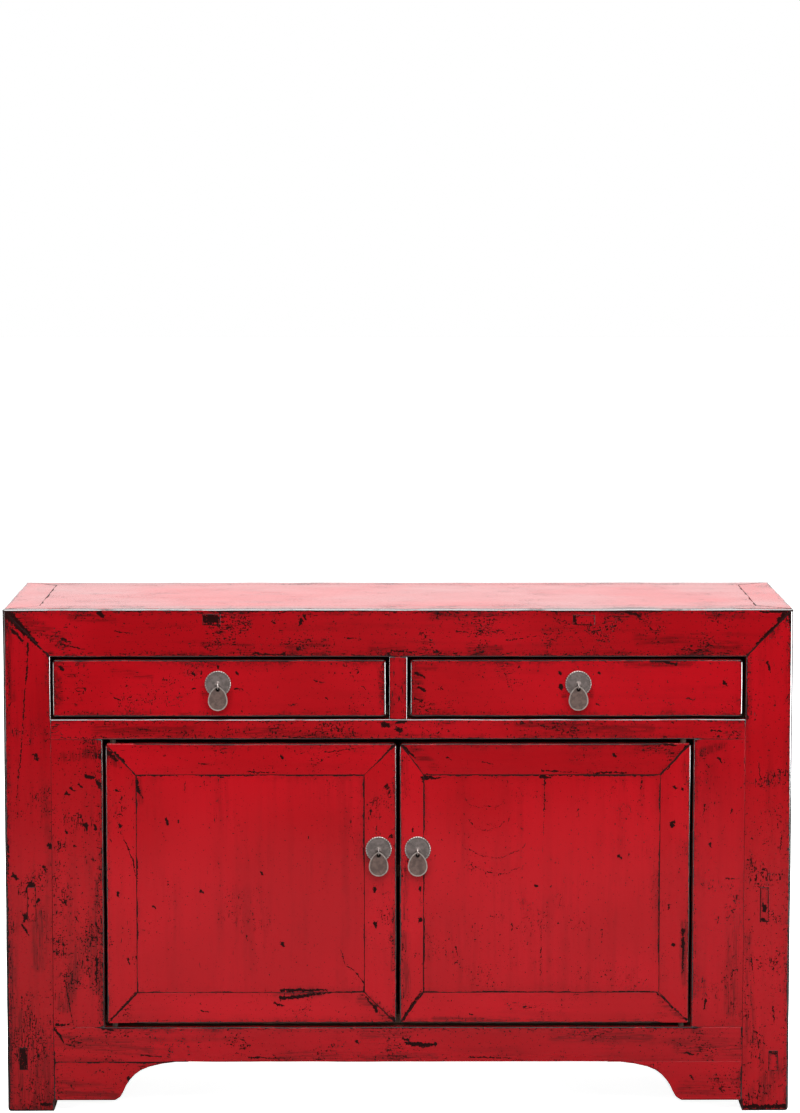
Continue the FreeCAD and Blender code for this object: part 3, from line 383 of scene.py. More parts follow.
lacquerLook = {
    "bright": rgb(0.445, 0.0042, 0.0095),
    "deep": rgb(0.385, 0.0036, 0.0075),
    "ground": rgb(0.0170, 0.0032, 0.0032),
    "insideLight": rgb(0.085, 0.040, 0.024),
    "insideDark": rgb(0.018, 0.010, 0.008),
    "seam": rgb(0.006, 0.004, 0.003),
    "seamFade": (0.0006, 0.0020, 0.9, 0.0),      # from and to, in metres, and how dark at both
    "bare": {"IOR": 1.5, "Specular IOR Level": 0.12},
    "polish": {"Coat IOR": 2.6, "Coat Roughness": 0.12},
    "shift": (0.31, 0.17, 0.23),      # moves the patterns from board to board
    "plankShift": (0.37, 0.11, 0.53),
    "plankTones": (0.72, 1.35),
    "wobble": 0.009,                  # how far a mark strays from its line, in metres
}


def strongest(tree, place, marks):
    # the strongest of the marks at each point
    mask = None
    for start, end, wide, narrow in marks:
        run = Vector(end) - Vector(start)
        mask = useGroup(tree, markGroup, Before=mask, Place=place, Start=tuple(start), Run=tuple(run),
                        Wide=wide, Narrow=narrow)["Mask"]
    return mask


def boardMaterial(name, low, high, grain, lines=(), marks=(), smearsAndShadows=(), edgeWear=2.5, lineWear=1.6, dirt=0.6,
                  specks=0.5, streaks=0.5, shade=1.0, relief=1.0, planks=()):
    # lacquer outside, old dark wood inside, with the marks that this board carries
    material, tree, shader = newMaterial(name)
    look = lacquerLook
    coords = objectPlace(tree)
    shift = Vector(look["shift"]) * (sum(map(ord, name)) % 17)
    place = vectorCalc(tree, "ADD", coords, tuple(shift))
    edge = useGroup(tree, edgeDistance, Low=tuple(low), High=tuple(high))["Edge"]
    free = addNode(tree, "ShaderNodeAttribute", attribute_name="freeEdge").outputs["Fac"]
    shine = addNode(tree, "ShaderNodeAttribute", attribute_name="polishedEdge").outputs["Fac"]
    line = None
    for point, normal in lines:
        each = useGroup(tree, lineDistance, Point=tuple(point), Normal=tuple(normal))["Line"]
        line = each if line is None else calc(tree, "MINIMUM", line, each)
    loose = coords
    if marks or smearsAndShadows:
        links = {"Vector": coords, "Scale": 160.0, "Detail": 3.0, "Roughness": 0.6}
        wobble = addNode(tree, "ShaderNodeTexNoise", links).outputs["Color"]
        wobble = vectorCalc(tree, "SUBTRACT", wobble, (0.5, 0.5, 0.5))
        loose = vectorCalc(tree, "ADD", coords, scaleVector(tree, wobble, look["wobble"]))
    along = alongGrain[grain]
    coat = useGroup(tree, wornLacquer, Place=place, Along=along, Edge=edge, Free=free, Shine=shine, Line=line,
                    Marks=strongest(tree, loose, marks), Smears=strongest(tree, loose, smearsAndShadows),
                    EdgeWear=edgeWear * mm, LineWear=lineWear * mm, Dirt=dirt, Specks=specks, Streaks=streaks,
                    Relief=relief, Bright=shaded(look["bright"], shade), Deep=shaded(look["deep"], shade),
                    Ground=look["ground"])
    # each plank was sawn from another part of the tree
    cutting = place
    light = look["insideLight"]
    for index, x in enumerate(planks):
        beyond = calc(tree, "GREATER_THAN", splitAxes(tree, coords)[0], x)
        cutting = vectorCalc(tree, "MULTIPLY_ADD", beyond, look["plankShift"], cutting)
        light = blendColour(tree, beyond, light, shaded(look["insideLight"], look["plankTones"][index % 2]))
    wood = useGroup(tree, oldWood, Place=cutting, Along=along, Light=light, Dark=look["insideDark"])
    outside = useGroup(tree, skinGroup, Place=coords)["Skin"]
    bare = wood["Colour"]
    if line is not None:
        bare = blendColour(tree, ramp(tree, line, *look["seamFade"]), bare, look["seam"])
    plug(tree, shader, "Base Color", blendColour(tree, outside, bare, coat["Colour"]))
    plug(tree, shader, "Roughness", blendValue(tree, outside, wood["Roughness"], coat["Roughness"]))
    giveBump(tree, shader, blendValue(tree, outside, wood["Height"], coat["Height"]))
    plug(tree, shader, "Coat Weight", times(tree, coat["Polish"], outside))
    for socket, value in {**look["bare"], **look["polish"]}.items():
        plug(tree, shader, socket, value)
    return material


def elmMaterial(name, grain, light, dark):
    material, tree, shader = newMaterial(name)
    wood = useGroup(tree, oldWood, Place=objectPlace(tree), Along=alongGrain[grain], Light=light, Dark=dark)
    plug(tree, shader, "Base Color", wood["Colour"])
    plug(tree, shader, "Roughness", wood["Roughness"])
    giveBump(tree, shader, wood["Height"])
    return material


def dress(piece, material):
    piece.data.materials.clear()
    piece.data.materials.append(material)


def lacquer(piece, name, low, high, grain, **wear):
    dress(piece, boardMaterial(name + "_finish", low, high, grain, **wear))


# boards

def deselectAll():
    for each in list(bpy.context.selected_objects):
        each.select_set(False)


def chooseEdges(piece, wanted):
    # selects the edges of the piece in edit mode that the rule wants
    mesh = bmesh.from_edit_mesh(piece.data)
    bpy.context.tool_settings.mesh_select_mode = (False, True, False)
    for edge in mesh.edges:
        edge.select_set(False)
    for edge in [edge for edge in mesh.edges if wanted(edge)]:
        edge.select_set(True)
    bmesh.update_edit_mesh(piece.data)


def mainAxis(edge, grainAxis):
    way = edge.verts[1].co - edge.verts[0].co
    if way.length < 1e-7 or abs(way[grainAxis]) > 0.95 * way.length:
        return grainAxis
    others = [axis for axis in range(3) if axis != grainAxis]
    return max(others, key=lambda axis: abs(way[axis]))


def splitBoard(piece, grainAxis, counts):
    # a grid along the board first, then across it
    for axis in [grainAxis] + [axis for axis in range(3) if axis != grainAxis]:
        chooseEdges(piece, lambda edge: mainAxis(edge, grainAxis) == axis)
        bpy.ops.mesh.subdivide(number_cuts=counts[axis])


boards = {
    "cell": 0.016, "mostCuts": 90,      # size of the grid on a board, in metres, and its most cuts
    "rounding": 2.4, "joint": 0.45,     # how round free edges and joint edges are, mm
    "waver": (0.3, 18.0),               # how unevenly, as a share and a scale
    "sharp": 0.3,                       # an edge whose faces turn by less isn't one, in radians
    "widest": 2.5, "least": 0.02,       # the roundest edge, in free ones, and the least, in roundest ones
    "rubbed": 0.6, "rubbedReach": 2.4,  # an edge rounder than this has lost that many times more lacquer
    "planing": 1.4,                     # how deep the hand tools went, mm
    # size in metres of the unevenness in each direction, and its share of that depth
    "waves": {"X": (0.09, 0.8), "Y": (0.13, 0.5), "Z": (0.08, 0.8)},
    # boards this near touch, felt this far in from an edge and out from its face, in metres
    "touching": 0.0002, "inset": 0.004, "out": 0.0015,
    "smooth": 40,                       # the sharpest turn that is shaded smooth, in degrees
}


def touched(point, boxes):
    near = boards["touching"]
    return any(all(low[axis] - near < point[axis] < high[axis] + near for axis in range(3))
               for low, high in boxes)


def findFree(edge, middle, boxes):
    # an edge is free where neither of its two faces has another board against it
    for face in edge.link_faces:
        inward = (face.calc_center_median() - middle).normalized() * boards["inset"]
        if touched(middle + inward + face.normal * boards["out"], boxes):
            return False
    return True


def wavering(middle, share, scale):
    return 1.0 + share * noise.noise(middle * scale)


def weighEdges(piece, boxes, freeWidth, jointWidth, special=None, shine=1.0, upperShine=1.0, leftShine=1.0):
    # writes how much each sharp edge is rounded, and where the surface is near a free edge
    mesh = bmesh.new()
    mesh.from_mesh(piece.data)
    mesh.normal_update()
    weights = mesh.edges.layers.float.new("bevel_weight_edge")
    nearFree = mesh.verts.layers.float.new("freeEdge")
    gleam = mesh.verts.layers.float.new("polishedEdge")
    widest = freeWidth * boards["widest"]
    for edge in mesh.edges:
        if len(edge.link_faces) != 2 or edge.calc_face_angle(0.0) < boards["sharp"]:
            continue
        middle = (edge.verts[0].co + edge.verts[1].co) / 2
        width = jointWidth
        if findFree(edge, middle, boxes):
            width = freeWidth * wavering(middle, *boards["waver"])
            if special:
                width = special(middle, edge, width)
            outward = edge.link_faces[0].normal + edge.link_faces[1].normal
            gleaming = shine * (upperShine if outward.z > 0.5 else 1.0)
            gleaming *= leftShine if outward.x < -0.5 else 1.0
            reach = boards["rubbedReach"] if width / widest > boards["rubbed"] else 1.0
            for corner in edge.verts:
                corner[nearFree] = max(corner[nearFree], reach)
                corner[gleam] = max(corner[gleam], gleaming)
        edge[weights] = max(boards["least"], min(1.0, width / widest))
    mesh.to_mesh(piece.data)
    mesh.free()
    return widest


def useModifier(piece, kind, **settings):
    modifier = piece.modifiers.new(kind.lower(), kind)
    for key, value in settings.items():
        setattr(modifier, key, value)
    bpy.context.view_layer.objects.active = piece
    bpy.ops.object.modifier_apply(modifier=modifier.name)


unevenness = {}
for letter, (size, share) in boards["waves"].items():
    cloud = bpy.data.textures.new("unevenness" + letter, "CLOUDS")
    cloud.noise_scale = size
    cloud.noise_depth = 1
    unevenness[letter] = cloud


def smoothBoard(piece):
    deselectAll()
    piece.select_set(True)
    bpy.context.view_layer.objects.active = piece
    bpy.ops.object.shade_smooth_by_angle(angle=math.radians(boards["smooth"]))
    useModifier(piece, "WEIGHTED_NORMAL", keep_sharp=True, weight=60)


def neighbours(body, own):
    return [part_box(other) for other in frame["record"]["behaviour"]["bodies"][body] if other not in own]


def finishBoard(piece, body, boxes, stands, rounding=boards["rounding"], joint=boards["joint"], **rubbing):
    # made uneven by hand tools, its edges rubbed round, then given its body
    widest = weighEdges(piece, boxes, rounding * mm, joint * mm, **rubbing)
    for letter, (size, share) in boards["waves"].items():
        useModifier(piece, "DISPLACE", texture=unevenness[letter], texture_coords="LOCAL", direction=letter,
                    mid_level=0.5, strength=boards["planing"] * share * mm)
    useModifier(piece, "BEVEL", width=widest, limit_method="WEIGHT", segments=3, use_clamp_overlap=False,
                loop_slide=True)
    smoothBoard(piece)
    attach(piece, body)
    if stands:
        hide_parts(*stands)


def makeBoard(name, body, low, high, grain, cuts=(), cell=boards["cell"], stands=(), boxes=None, **edges):
    # one board: a cube at its place, cut to its mitres and given a grid, then finished
    low, high = Vector(low), Vector(high)
    size = high - low
    deselectAll()
    bpy.ops.mesh.primitive_cube_add(size=1.0, location=(low + high) / 2, scale=size)
    piece = bpy.context.active_object
    piece.name = name
    piece.data.name = name
    bpy.ops.object.transform_apply(location=True, rotation=True, scale=True)
    bpy.ops.object.mode_set(mode="EDIT")
    for point, normal in cuts:
        bpy.ops.mesh.select_all(action="SELECT")
        bpy.ops.mesh.bisect(plane_co=point, plane_no=normal, use_fill=True, clear_outer=True)
    counts = [min(boards["mostCuts"], max(1, int(side / cell))) for side in size]
    splitBoard(piece, "XYZ".index(grain), counts)
    bpy.ops.mesh.select_all(action="SELECT")
    bpy.ops.mesh.normals_make_consistent(inside=False)
    bpy.ops.object.mode_set(mode="OBJECT")
    finishBoard(piece, body, neighbours(body, stands) if boxes is None else boxes, stands, **edges)
    return piece


def frontMark(x1, z1, x2, z2, wide, narrow):
    # a mark on the front plane, in millimetres
    front = skin["front"]
    return (x1 * mm, front, z1 * mm), (x2 * mm, front, z2 * mm), wide * mm, narrow * mm


# the marks that wear and repairs left on each board: x, z, x, z, then how wide at both ends
frontMarks = {
    "leg_front_left": [
        (-652, 842, -618, 808, 7, 5), (-618, 808, -580, 770, 3, 1.2), (-638, 815, -622, 795, 5, 3),
        (-613, 792, -615, 750, 2.2, 1.5), (-615, 750, -619, 712, 2.2, 1.2), (-619, 712, -625, 628, 1.8, 1.2),
        (-625, 628, -636, 519, 1.5, 0.8), (-603, 604, -601, 598, 5, 4), (-581, 453, -580, 448, 5, 4),
        (-613, 386, -617, 374, 8, 6), (-620, 333, -623, 326, 8, 4), (-650, 454, -650, 392, 2.5, 1.2),
        (-600, 360, -606, 352, 3, 2), (-628, 318, -616, 300, 2.5, 1.5), (-592, 418, -588, 410, 3, 2),
        (-574, 404, -566, 402, 3, 1.5), (-641, 402, -636, 396, 5, 3), (-599, 12, -582, 12, 4, 3),
        (-645, 688, -638, 694, 2, 1),
    ],
    "leg_front_right": [
        (646, 844, 578, 772, 3, 2.4), (638, 842, 616, 826, 5, 4), (651, 846, 651, 812, 7, 3),
        (600, 806, 590, 790, 6, 4), (578, 7, 653, 7, 5, 5), (612, 760, 618, 742, 3, 1),
        (600, 590, 603, 560, 1.6, 0.8), (640, 470, 636, 440, 1.4, 0.8), (590, 262, 597, 214, 1.6, 0.6),
        (628, 178, 630, 150, 2.2, 1.2),
    ],
    "top_rail_front": [
        (-648, 846, -622, 818, 8, 6), (-622, 818, -598, 792, 6, 2.5), (-494, 842, -488, 836, 6, 3),
        (-161, 828, -163, 822, 5, 3), (-155, 838, -153, 830, 3, 1), (379, 843, 400, 838, 4, 2),
        (646, 843, 632, 830, 7, 6), (630, 825, 594, 790, 4, 2.4), (640, 846, 600, 843, 5, 2),
        (418, 816, 424, 811, 2, 1), (-240, 775, -180, 771, 2.5, 1.5), (96, 812, 140, 806, 1.6, 1),
        (-90, 801, -60, 799, 2, 1), (-470, 812, -440, 808, 1.8, 0.8), (180, 797, 230, 803, 1.5, 0.8),
        (-560, 790, -520, 782, 2, 1), (-12, 779, 30, 777, 2.2, 1.2), (470, 781, 520, 778, 2, 1),
    ],
    "drawer_rail": [
        (-25, 655, -16, 654, 5.5, 4.5), (0, 660, 14, 660, 4, 3), (0, 648, 3, 647, 6.5, 5),
        (-75, 648, -75, 634, 1.6, 1.2), (-82, 641, -68, 641, 1.4, 0.8), (-560, 634, -500, 633, 1.6, 0.8),
        (-430, 648, -410, 646, 2, 1), (240, 652, 262, 650, 1.8, 0.8), (520, 646, 548, 643, 2, 0.8),
        (-180, 634, -120, 632, 1.8, 1),
    ],
    "wing_board_left": [
        (-519, 569, -505, 566, 4.5, 3), (-500, 560, -495, 552, 5, 3), (-532, 556, -526, 550, 2.5, 1.5),
        (-545, 549, -538, 545, 3, 2), (-552, 541, -548, 538, 4, 3), (-520, 486, -518, 478, 5, 3),
        (-505, 486, -504, 480, 3.5, 2.5), (-504, 262, -504, 214, 4, 1.5), (-558, 231, -544, 146, 1.6, 1),
        (-540, 452, -531, 451, 2, 1), (-553, 475, -551, 472, 3.5, 2), (-573, 148, -549, 148, 3, 1.5),
        (-499, 141, -475, 139, 3, 1.5), (-538, 330, -533, 322, 2, 1),
    ],
    "wing_board_right": [
        (511, 520, 508, 503, 2, 1), (547, 395, 567, 395, 1.6, 1), (532, 600, 538, 592, 3, 1.5),
        (520, 455, 522, 447, 2.5, 1.5), (556, 512, 553, 506, 2.2, 1.2), (535, 330, 534, 318, 2, 1),
        (560, 240, 556, 222, 2, 0.8), (515, 190, 512, 172, 2.5, 1),
    ],
    "door_left_hinge_stile": [
        (-485, 613, -469, 596, 6, 4), (-463, 487, -463, 483, 4, 3), (-463, 476, -442, 429, 1.1, 1.6),
        (-442, 429, -438, 400, 2.2, 0.8), (-432, 549, -431, 527, 4.5, 2), (-480, 157, -437, 205, 1.8, 1),
        (-470, 545, -462, 543, 2.5, 1.5), (-468, 372, -466, 366, 4, 2), (-452, 260, -449, 250, 2.5, 1),
    ],
    "door_left_lock_stile": [
        (-19, 552, -16, 548, 5, 4), (-12, 468, -11, 466, 4, 3), (-40, 378, -39, 374, 4.5, 3),
        (-38, 320, -37, 316, 4.5, 3), (-52, 184, -26, 166, 2, 5), (-30, 168, -6, 156, 6, 3),
        (-10, 300, -9, 262, 1.5, 0.8), (-46, 512, -45, 504, 2, 1),
    ],
    "door_left_top_rail": [
        (-194, 602, -190, 599, 3.5, 2), (-121, 609, -40, 619, 1.4, 0.6), (-8, 618, -24, 603, 4, 2.4),
        (-330, 590, -310, 588, 2, 1), (-470, 606, -456, 594, 5, 3), (-250, 576, -200, 574, 1.8, 0.8),
    ],
    "door_left_bottom_rail": [
        (-196, 193, -150, 197, 5, 3), (-206, 184, -190, 180, 3, 1.2), (-150, 199, -107, 203, 3, 1.2),
        (-480, 157, -437, 203, 2, 1.2), (-330, 172, -318, 170, 2, 1), (-57, 200, -36, 172, 1, 4),
    ],
    "door_left_panel": [
        (-386, 498, -384, 488, 3.5, 2), (-367, 494, -366, 492, 2.5, 1.5), (-329, 376, -326, 372, 4, 2),
        (-384, 386, -381, 383, 2.5, 1.5), (-409, 350, -405, 345, 2.5, 1.5), (-227, 406, -225, 402, 2.5, 1.5),
        (-194, 286, -192, 282, 4, 3), (-95, 276, -89.5, 252, 0.9, 1.2), (-89.5, 252, -70, 237, 1.3, 1.3),
        (-70, 237, -57, 219, 1.3, 1.5), (-57, 219, -57, 203, 1.5, 1), (-196, 206, -120, 207, 4, 2),
        (-300, 425, -298, 412, 1.6, 0.8), (-253, 300, -251, 288, 1.6, 0.8), (-150, 470, -149, 458, 1.6, 0.8),
        (-436, 562, -431, 540, 5, 2), (-434, 545, -424, 530, 3, 1.2), (-322, 560, -322, 552, 1.4, 0.8),
        (-355, 562, -355, 540, 1.2, 0.6), (-430, 570, -366, 570, 1.6, 1.2), (-340, 570, -240, 570, 1.2, 1.7),
        (-436, 430, -435, 390, 2, 1), (-300, 570, -292, 566, 3, 1.4),
    ],
    "door_right_hinge_stile": [
        (460, 551, 462, 549, 3.5, 2.5), (473, 547, 474, 545, 3.5, 2.5), (458, 489, 457, 485, 6, 5),
        (476, 309, 476, 238, 3.5, 2), (460, 284, 460, 282, 4, 3), (481, 621, 440, 571, 1.8, 1),
        (433, 200, 484, 155, 1.4, 2.2), (470, 414, 468, 404, 2, 1), (452, 350, 451, 344, 2.5, 1),
    ],
    "door_right_lock_stile": [
        (37, 379, 37, 376, 4.5, 3), (37, 374, 37, 350, 0.9, 0.6), (37, 327, 37, 324, 4.5, 3),
        (8, 156, 38, 203, 3.5, 2), (20, 167, 21, 165, 4, 3), (40, 566, 43, 558, 4, 1),
        (24, 480, 25, 474, 2, 1), (30, 270, 27, 262, 2, 1), (16, 430, 16, 424, 2, 1),
    ],
    "door_right_top_rail": [
        (359, 604, 362, 602, 3.5, 2), (8, 619, 28, 600, 4, 2), (80, 600, 90, 596, 2, 1),
        (414, 628, 460, 621, 4, 2.5), (43, 570, 56, 570, 4.5, 2), (440, 571, 480, 620, 1.2, 2),
        (140, 592, 158, 590, 1.8, 0.8), (240, 578, 300, 575, 1.8, 0.8), (330, 574, 380, 575, 2.6, 1.2),
    ],
    "door_right_bottom_rail": [
        (8, 156, 40, 204, 3, 2), (433, 201, 484, 156, 1.4, 2), (210, 178, 230, 176, 1.8, 0.8),
        (120, 166, 128, 163, 2.4, 1.2),
    ],
    "door_right_panel": [
        (42, 568, 62, 565, 5, 2.4), (62, 566, 80, 567, 2, 1), (43, 564, 43, 540, 1.4, 0.7),
        (368, 434, 371, 431, 4, 2.5), (230, 384, 232, 382, 3, 2), (255, 383, 257, 381, 2.6, 1.6),
        (41, 222, 41, 206, 1.8, 2.4), (300, 512, 301, 500, 1.6, 0.8), (190, 318, 191, 308, 1.5, 0.8),
        (340, 310, 341, 296, 1.6, 0.8), (96, 280, 97, 272, 1.8, 0.8), (405, 560, 404, 548, 2, 1),
        (225, 570, 300, 570, 1.6, 1.2), (238, 569, 252, 566, 4, 2), (310, 570, 425, 570, 1.9, 1.4),
        (244, 566, 243, 500, 1.6, 1.0), (243, 498, 241, 440, 0.9, 0.5), (239, 330, 238, 232, 0.6, 0.9),
        (42, 480, 42, 420, 1.5, 0.8),
    ],
    "bottom_rail_front": [
        (-493, 144, -478, 138, 6, 3), (-576, 142, -560, 118, 4, 2), (14, 116, 48, 113, 4, 5),
        (44, 113, 63, 114, 5.5, 4.5), (9, 124, 18, 121, 3.2, 2.4), (-70, 120, -66, 115, 3, 1.5),
        (-430, 96, -380, 93, 2, 1), (-250, 92, -190, 90, 1.8, 0.8), (120, 92, 190, 91, 2, 1),
        (330, 128, 352, 126, 1.6, 0.8), (480, 100, 500, 96, 2.2, 1),
    ],
    "drawer_left_front": [
        (-560, 752, -554, 746, 4, 2), (-340, 742, -338, 740, 3.5, 2.5), (-268, 742, -266, 740, 3.5, 2.5),
        (-270, 716, -258, 714, 2, 1.5), (-340, 716, -336, 716, 2, 1.5), (-520, 715, -517, 713, 2.4, 1.6),
        (-470, 700, -462, 698, 1.6, 1), (-140, 730, -126, 726, 1.6, 0.8), (-180, 690, -170, 688, 2, 1),
        (-299, 752, -298, 749, 2.6, 2), (-60, 720, -55, 716, 2.4, 1.2), (-120, 700, -116, 697, 2, 1.2),
    ],
    "drawer_right_front": [
        (418, 764, 461, 757, 4, 2.5), (30, 742, 44, 734, 3, 1.5), (34, 718, 46, 712, 3.4, 1.8),
        (28, 700, 40, 692, 3, 1.5), (72, 716, 74, 714, 2.6, 1.8), (200, 752, 203, 750, 2.2, 1.4),
        (140, 735, 142, 733, 2, 1.2), (480, 700, 492, 697, 1.8, 1), (540, 726, 548, 721, 2.6, 1.2),
        (330, 690, 334, 687, 2, 1), (268, 742, 270, 740, 3.2, 2.2), (333, 742, 335, 740, 3.2, 2.2),
        (298, 752, 299, 749, 3, 2), (270, 719, 272, 714, 4.5, 3),
    ],
    "apron_brackets": [
        (-453, 57, -452, 53, 4, 3), (-500, 70, -494, 66, 2.4, 1.2), (490, 60, 496, 54, 2.4, 1.2),
        (540, 40, 545, 32, 2.4, 1.2), (-548, 44, -544, 38, 2.6, 1.4),
    ],
}


# wider smears, where wax and soot lie over the red; the short ones beside the pulls are painted shadows
frontSmears = {
    "leg_front_left": [
        (-652, 820, -640, 700, 14, 8), (-640, 140, -600, 20, 55, 60), (-645, 60, -590, 10, 30, 30),
        (-598, 330, -600, 250, 18, 14), (-652, 280, -650, 60, 16, 26),
    ],
    "leg_front_right": [
        (650, 842, 610, 800, 14, 10), (640, 80, 600, 20, 14, 24), (584, 300, 590, 120, 8, 12),
    ],
    "top_rail_front": [
        (-640, 835, -560, 800, 22, 12), (-40, 782, 10, 780, 12, 9), (120, 784, 170, 782, 10, 6),
        (-320, 790, -250, 785, 10, 14), (-540, 838, -470, 830, 10, 6), (60, 838, 200, 836, 9, 9),
        (400, 800, 560, 786, 14, 10), (-120, 792, -180, 788, 9, 9),
    ],
    "drawer_rail": [
        (-500, 648, -330, 644, 12, 12), (-250, 645, -120, 640, 11, 9), (200, 652, 420, 648, 12, 10),
    ],
    "wing_board_left": [
        (-503, 392, -503, 350, 3, 9), (-503, 350, -506, 210, 9, 14), (-520, 290, -560, 180, 20, 16),
        (-560, 600, -500, 610, 10, 12),
    ],
    "wing_board_right": [(560, 330, 556, 170, 14, 12), (506, 610, 540, 620, 10, 8)],
    "bottom_rail_front": [
        (-560, 120, -420, 105, 18, 14), (-200, 96, 60, 92, 9, 9), (260, 128, 420, 126, 12, 10),
        (470, 110, 570, 104, 16, 18), (-60, 130, 20, 130, 9, 7),
    ],
    "door_left_bottom_rail": [(-200, 200, -130, 204, 12, 10), (-60, 190, -20, 165, 12, 12)],
    # for door_left_lock_stile, the last smear, beside the pull, is a painted shadow
    "door_left_lock_stile": [
        (-50, 190, -15, 160, 10, 10), (-8, 330, -9, 240, 4, 4), (-52, 438, -51, 426, 6, 5),
    ],
    "door_left_hinge_stile": [(-480, 600, -462, 585, 12, 6), (-440, 560, -436, 520, 6, 4)],
    "door_left_panel": [(-434, 560, -428, 525, 9, 5), (-180, 206, -110, 206, 9, 7)],
    "door_right_top_rail": [(30, 610, 60, 585, 14, 8), (400, 618, 470, 612, 10, 12)],
    "door_right_lock_stile": [(12, 300, 14, 200, 9, 9), (10, 600, 14, 540, 7, 5), (14, 400, 12, 330, 6, 6)],
    "door_right_hinge_stile": [(478, 320, 478, 220, 8, 8), (478, 600, 478, 560, 6, 6)],
    "door_right_bottom_rail": [(60, 158, 200, 156, 5, 5), (440, 190, 478, 160, 10, 9)],
    # for drawer_left_front, the two short smears on either side of the pull are painted shadows
    "drawer_left_front": [
        (-560, 755, -540, 740, 12, 8), (-564, 730, -562, 690, 9, 9), (-28, 756, -24, 700, 9, 7),
        (-322, 716, -321, 702, 8, 6), (-278, 712, -280, 700, 6, 5), (-470, 745, -410, 735, 9, 6),
    ],
    # for drawer_right_front, the last two smears, on either side of the pull, are painted shadows
    "drawer_right_front": [
        (28, 756, 60, 752, 10, 8), (30, 740, 34, 690, 13, 12), (380, 757, 480, 757, 8, 8),
        (276, 716, 277, 702, 9, 6), (321, 714, 320, 700, 6, 5),
    ],
    "apron_brackets": [(-560, 40, -480, 30, 20, 16), (480, 40, 560, 40, 16, 18)],
}


def frontList(table, name):
    return [frontMark(*numbers) for numbers in table.get(name, [])]


def marksOf(name):
    return {"marks": frontList(frontMarks, name), "smearsAndShadows": frontList(frontSmears, name)}


def unit(x, y, z):
    return tuple(Vector((x, y, z)).normalized())


# the carcass frame

carcass = {
    "topEdge": 3.6,        # rounding of the top's outer edge, mm
    "sideEdge": 4.6,       # rounding of the legs' outer edges
    "edgeWaver": (0.2, 25.0),
    "edgeBand": 2,         # how near the outer planes such an edge lies, mm
    "footCut": 4,          # the worn outer corner of each foot, mm, and its slope
    "footSlope": 1.2,
    "upright": 5,          # an edge that rises more than this, mm, runs along a leg
    "legShades": {"leg_front_left": 0.79, "leg_front_right": 0.93, "leg_back_left": 0.9,
                  "leg_back_right": 0.9},
}
far = 9      # a point well outside, on the side that a cut takes away

railLow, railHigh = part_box("top_rail_front")
sideLow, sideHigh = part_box("top_rail_right")
backLow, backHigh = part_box("top_rail_back")
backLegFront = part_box("leg_back_left")[0].y


def mitrePlane(first, second, along):
    # the plane through two points and the given direction, with its unit normal
    way = Vector(second) - Vector(first)
    return tuple(first), tuple(way.cross(Vector(along)).normalized())


def turnedTo(plane, outside):
    # the same plane with its normal towards the side to cut away
    point, normal = plane
    side = (Vector(outside) - Vector(point)).dot(Vector(normal))
    return point, tuple(Vector(normal) * (1 if side > 0 else -1))


def faceMitre(sign, y):
    # seen from the front: from the outer top corner down to the leg's inner edge
    return mitrePlane((sign * legHigh.x, y, legHigh.z), (sign * legLow.x, y, railLow.z), (0, 1, 0))


def flankMitre(x, front, back):
    # seen from the side: from the outer top corner down to the leg's other edge
    return mitrePlane((x, front, legHigh.z), (x, back, railLow.z), (1, 0, 0))


def planMitre(sign, outer, inner):
    # seen from above: from the outer corner to the inner corner of the frame
    return mitrePlane((sign * sideHigh.x, outer, legHigh.z), (sign * sideLow.x, inner, legHigh.z), (0, 0, 1))


def roundTopEdge(middle, edge, width):
    # the outer edge of the top is worn rounder than the rest, and so are the legs' outer edges
    band = carcass["edgeBand"] * mm
    atSide = abs(middle.x) > skin["side"] - band
    outside = atSide or middle.y < skin["front"] + band or middle.y > backHigh.y - band
    if outside and middle.z > skin["top"] - band:
        return carcass["topEdge"] * mm * wavering(middle, *carcass["edgeWaver"])
    if atSide and abs(edge.verts[0].co.z - edge.verts[1].co.z) > carcass["upright"] * mm:
        return carcass["sideEdge"] * mm * wavering(middle, *carcass["edgeWaver"])
    return width


for sideName, sign in (("left", -1), ("right", 1)):
    outerX = sign * legHigh.x
    for endName, outer in (("front", legLow.y), ("back", backHigh.y)):
        name = f"leg_{endName}_{sideName}"
        low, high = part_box(name)
        inner = high.y if endName == "front" else low.y
        face = turnedTo(faceMitre(sign, outer), (0, outer, legHigh.z))
        flank = turnedTo(flankMitre(outerX, outer, inner), (0, 0, legHigh.z))
        foot = ((outerX - sign * carcass["footCut"] * mm, outer, 0.0), unit(sign, 0, -carcass["footSlope"]))
        piece = makeBoard(name, "cabinet", low, high, "Z", cuts=[face, flank, foot], cell=0.014,
                          special=roundTopEdge, stands=[name], leftShine=0.25)
        lacquer(piece, name, low, high, "Z", lines=[face, flank], **marksOf(name), specks=0.58, streaks=0.6,
                dirt=0.8, shade=carcass["legShades"][name])
    name = f"top_rail_{sideName}"
    low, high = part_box(name)
    cuts = [turnedTo(planMitre(sign, railLow.y, railHigh.y), (0, railLow.y, legHigh.z)),
            turnedTo(planMitre(sign, backHigh.y, backLow.y), (0, backHigh.y, legHigh.z)),
            turnedTo(flankMitre(outerX, legLow.y, legHigh.y), (0, legLow.y, 0)),
            turnedTo(flankMitre(outerX, backHigh.y, backLegFront), (0, backHigh.y, 0))]
    piece = makeBoard(name, "cabinet", low, high, "Y", cuts=cuts, special=roundTopEdge, stands=[name])
    lacquer(piece, name, low, high, "Y", lines=cuts, lineWear=2.0, specks=0.4, streaks=0.5)

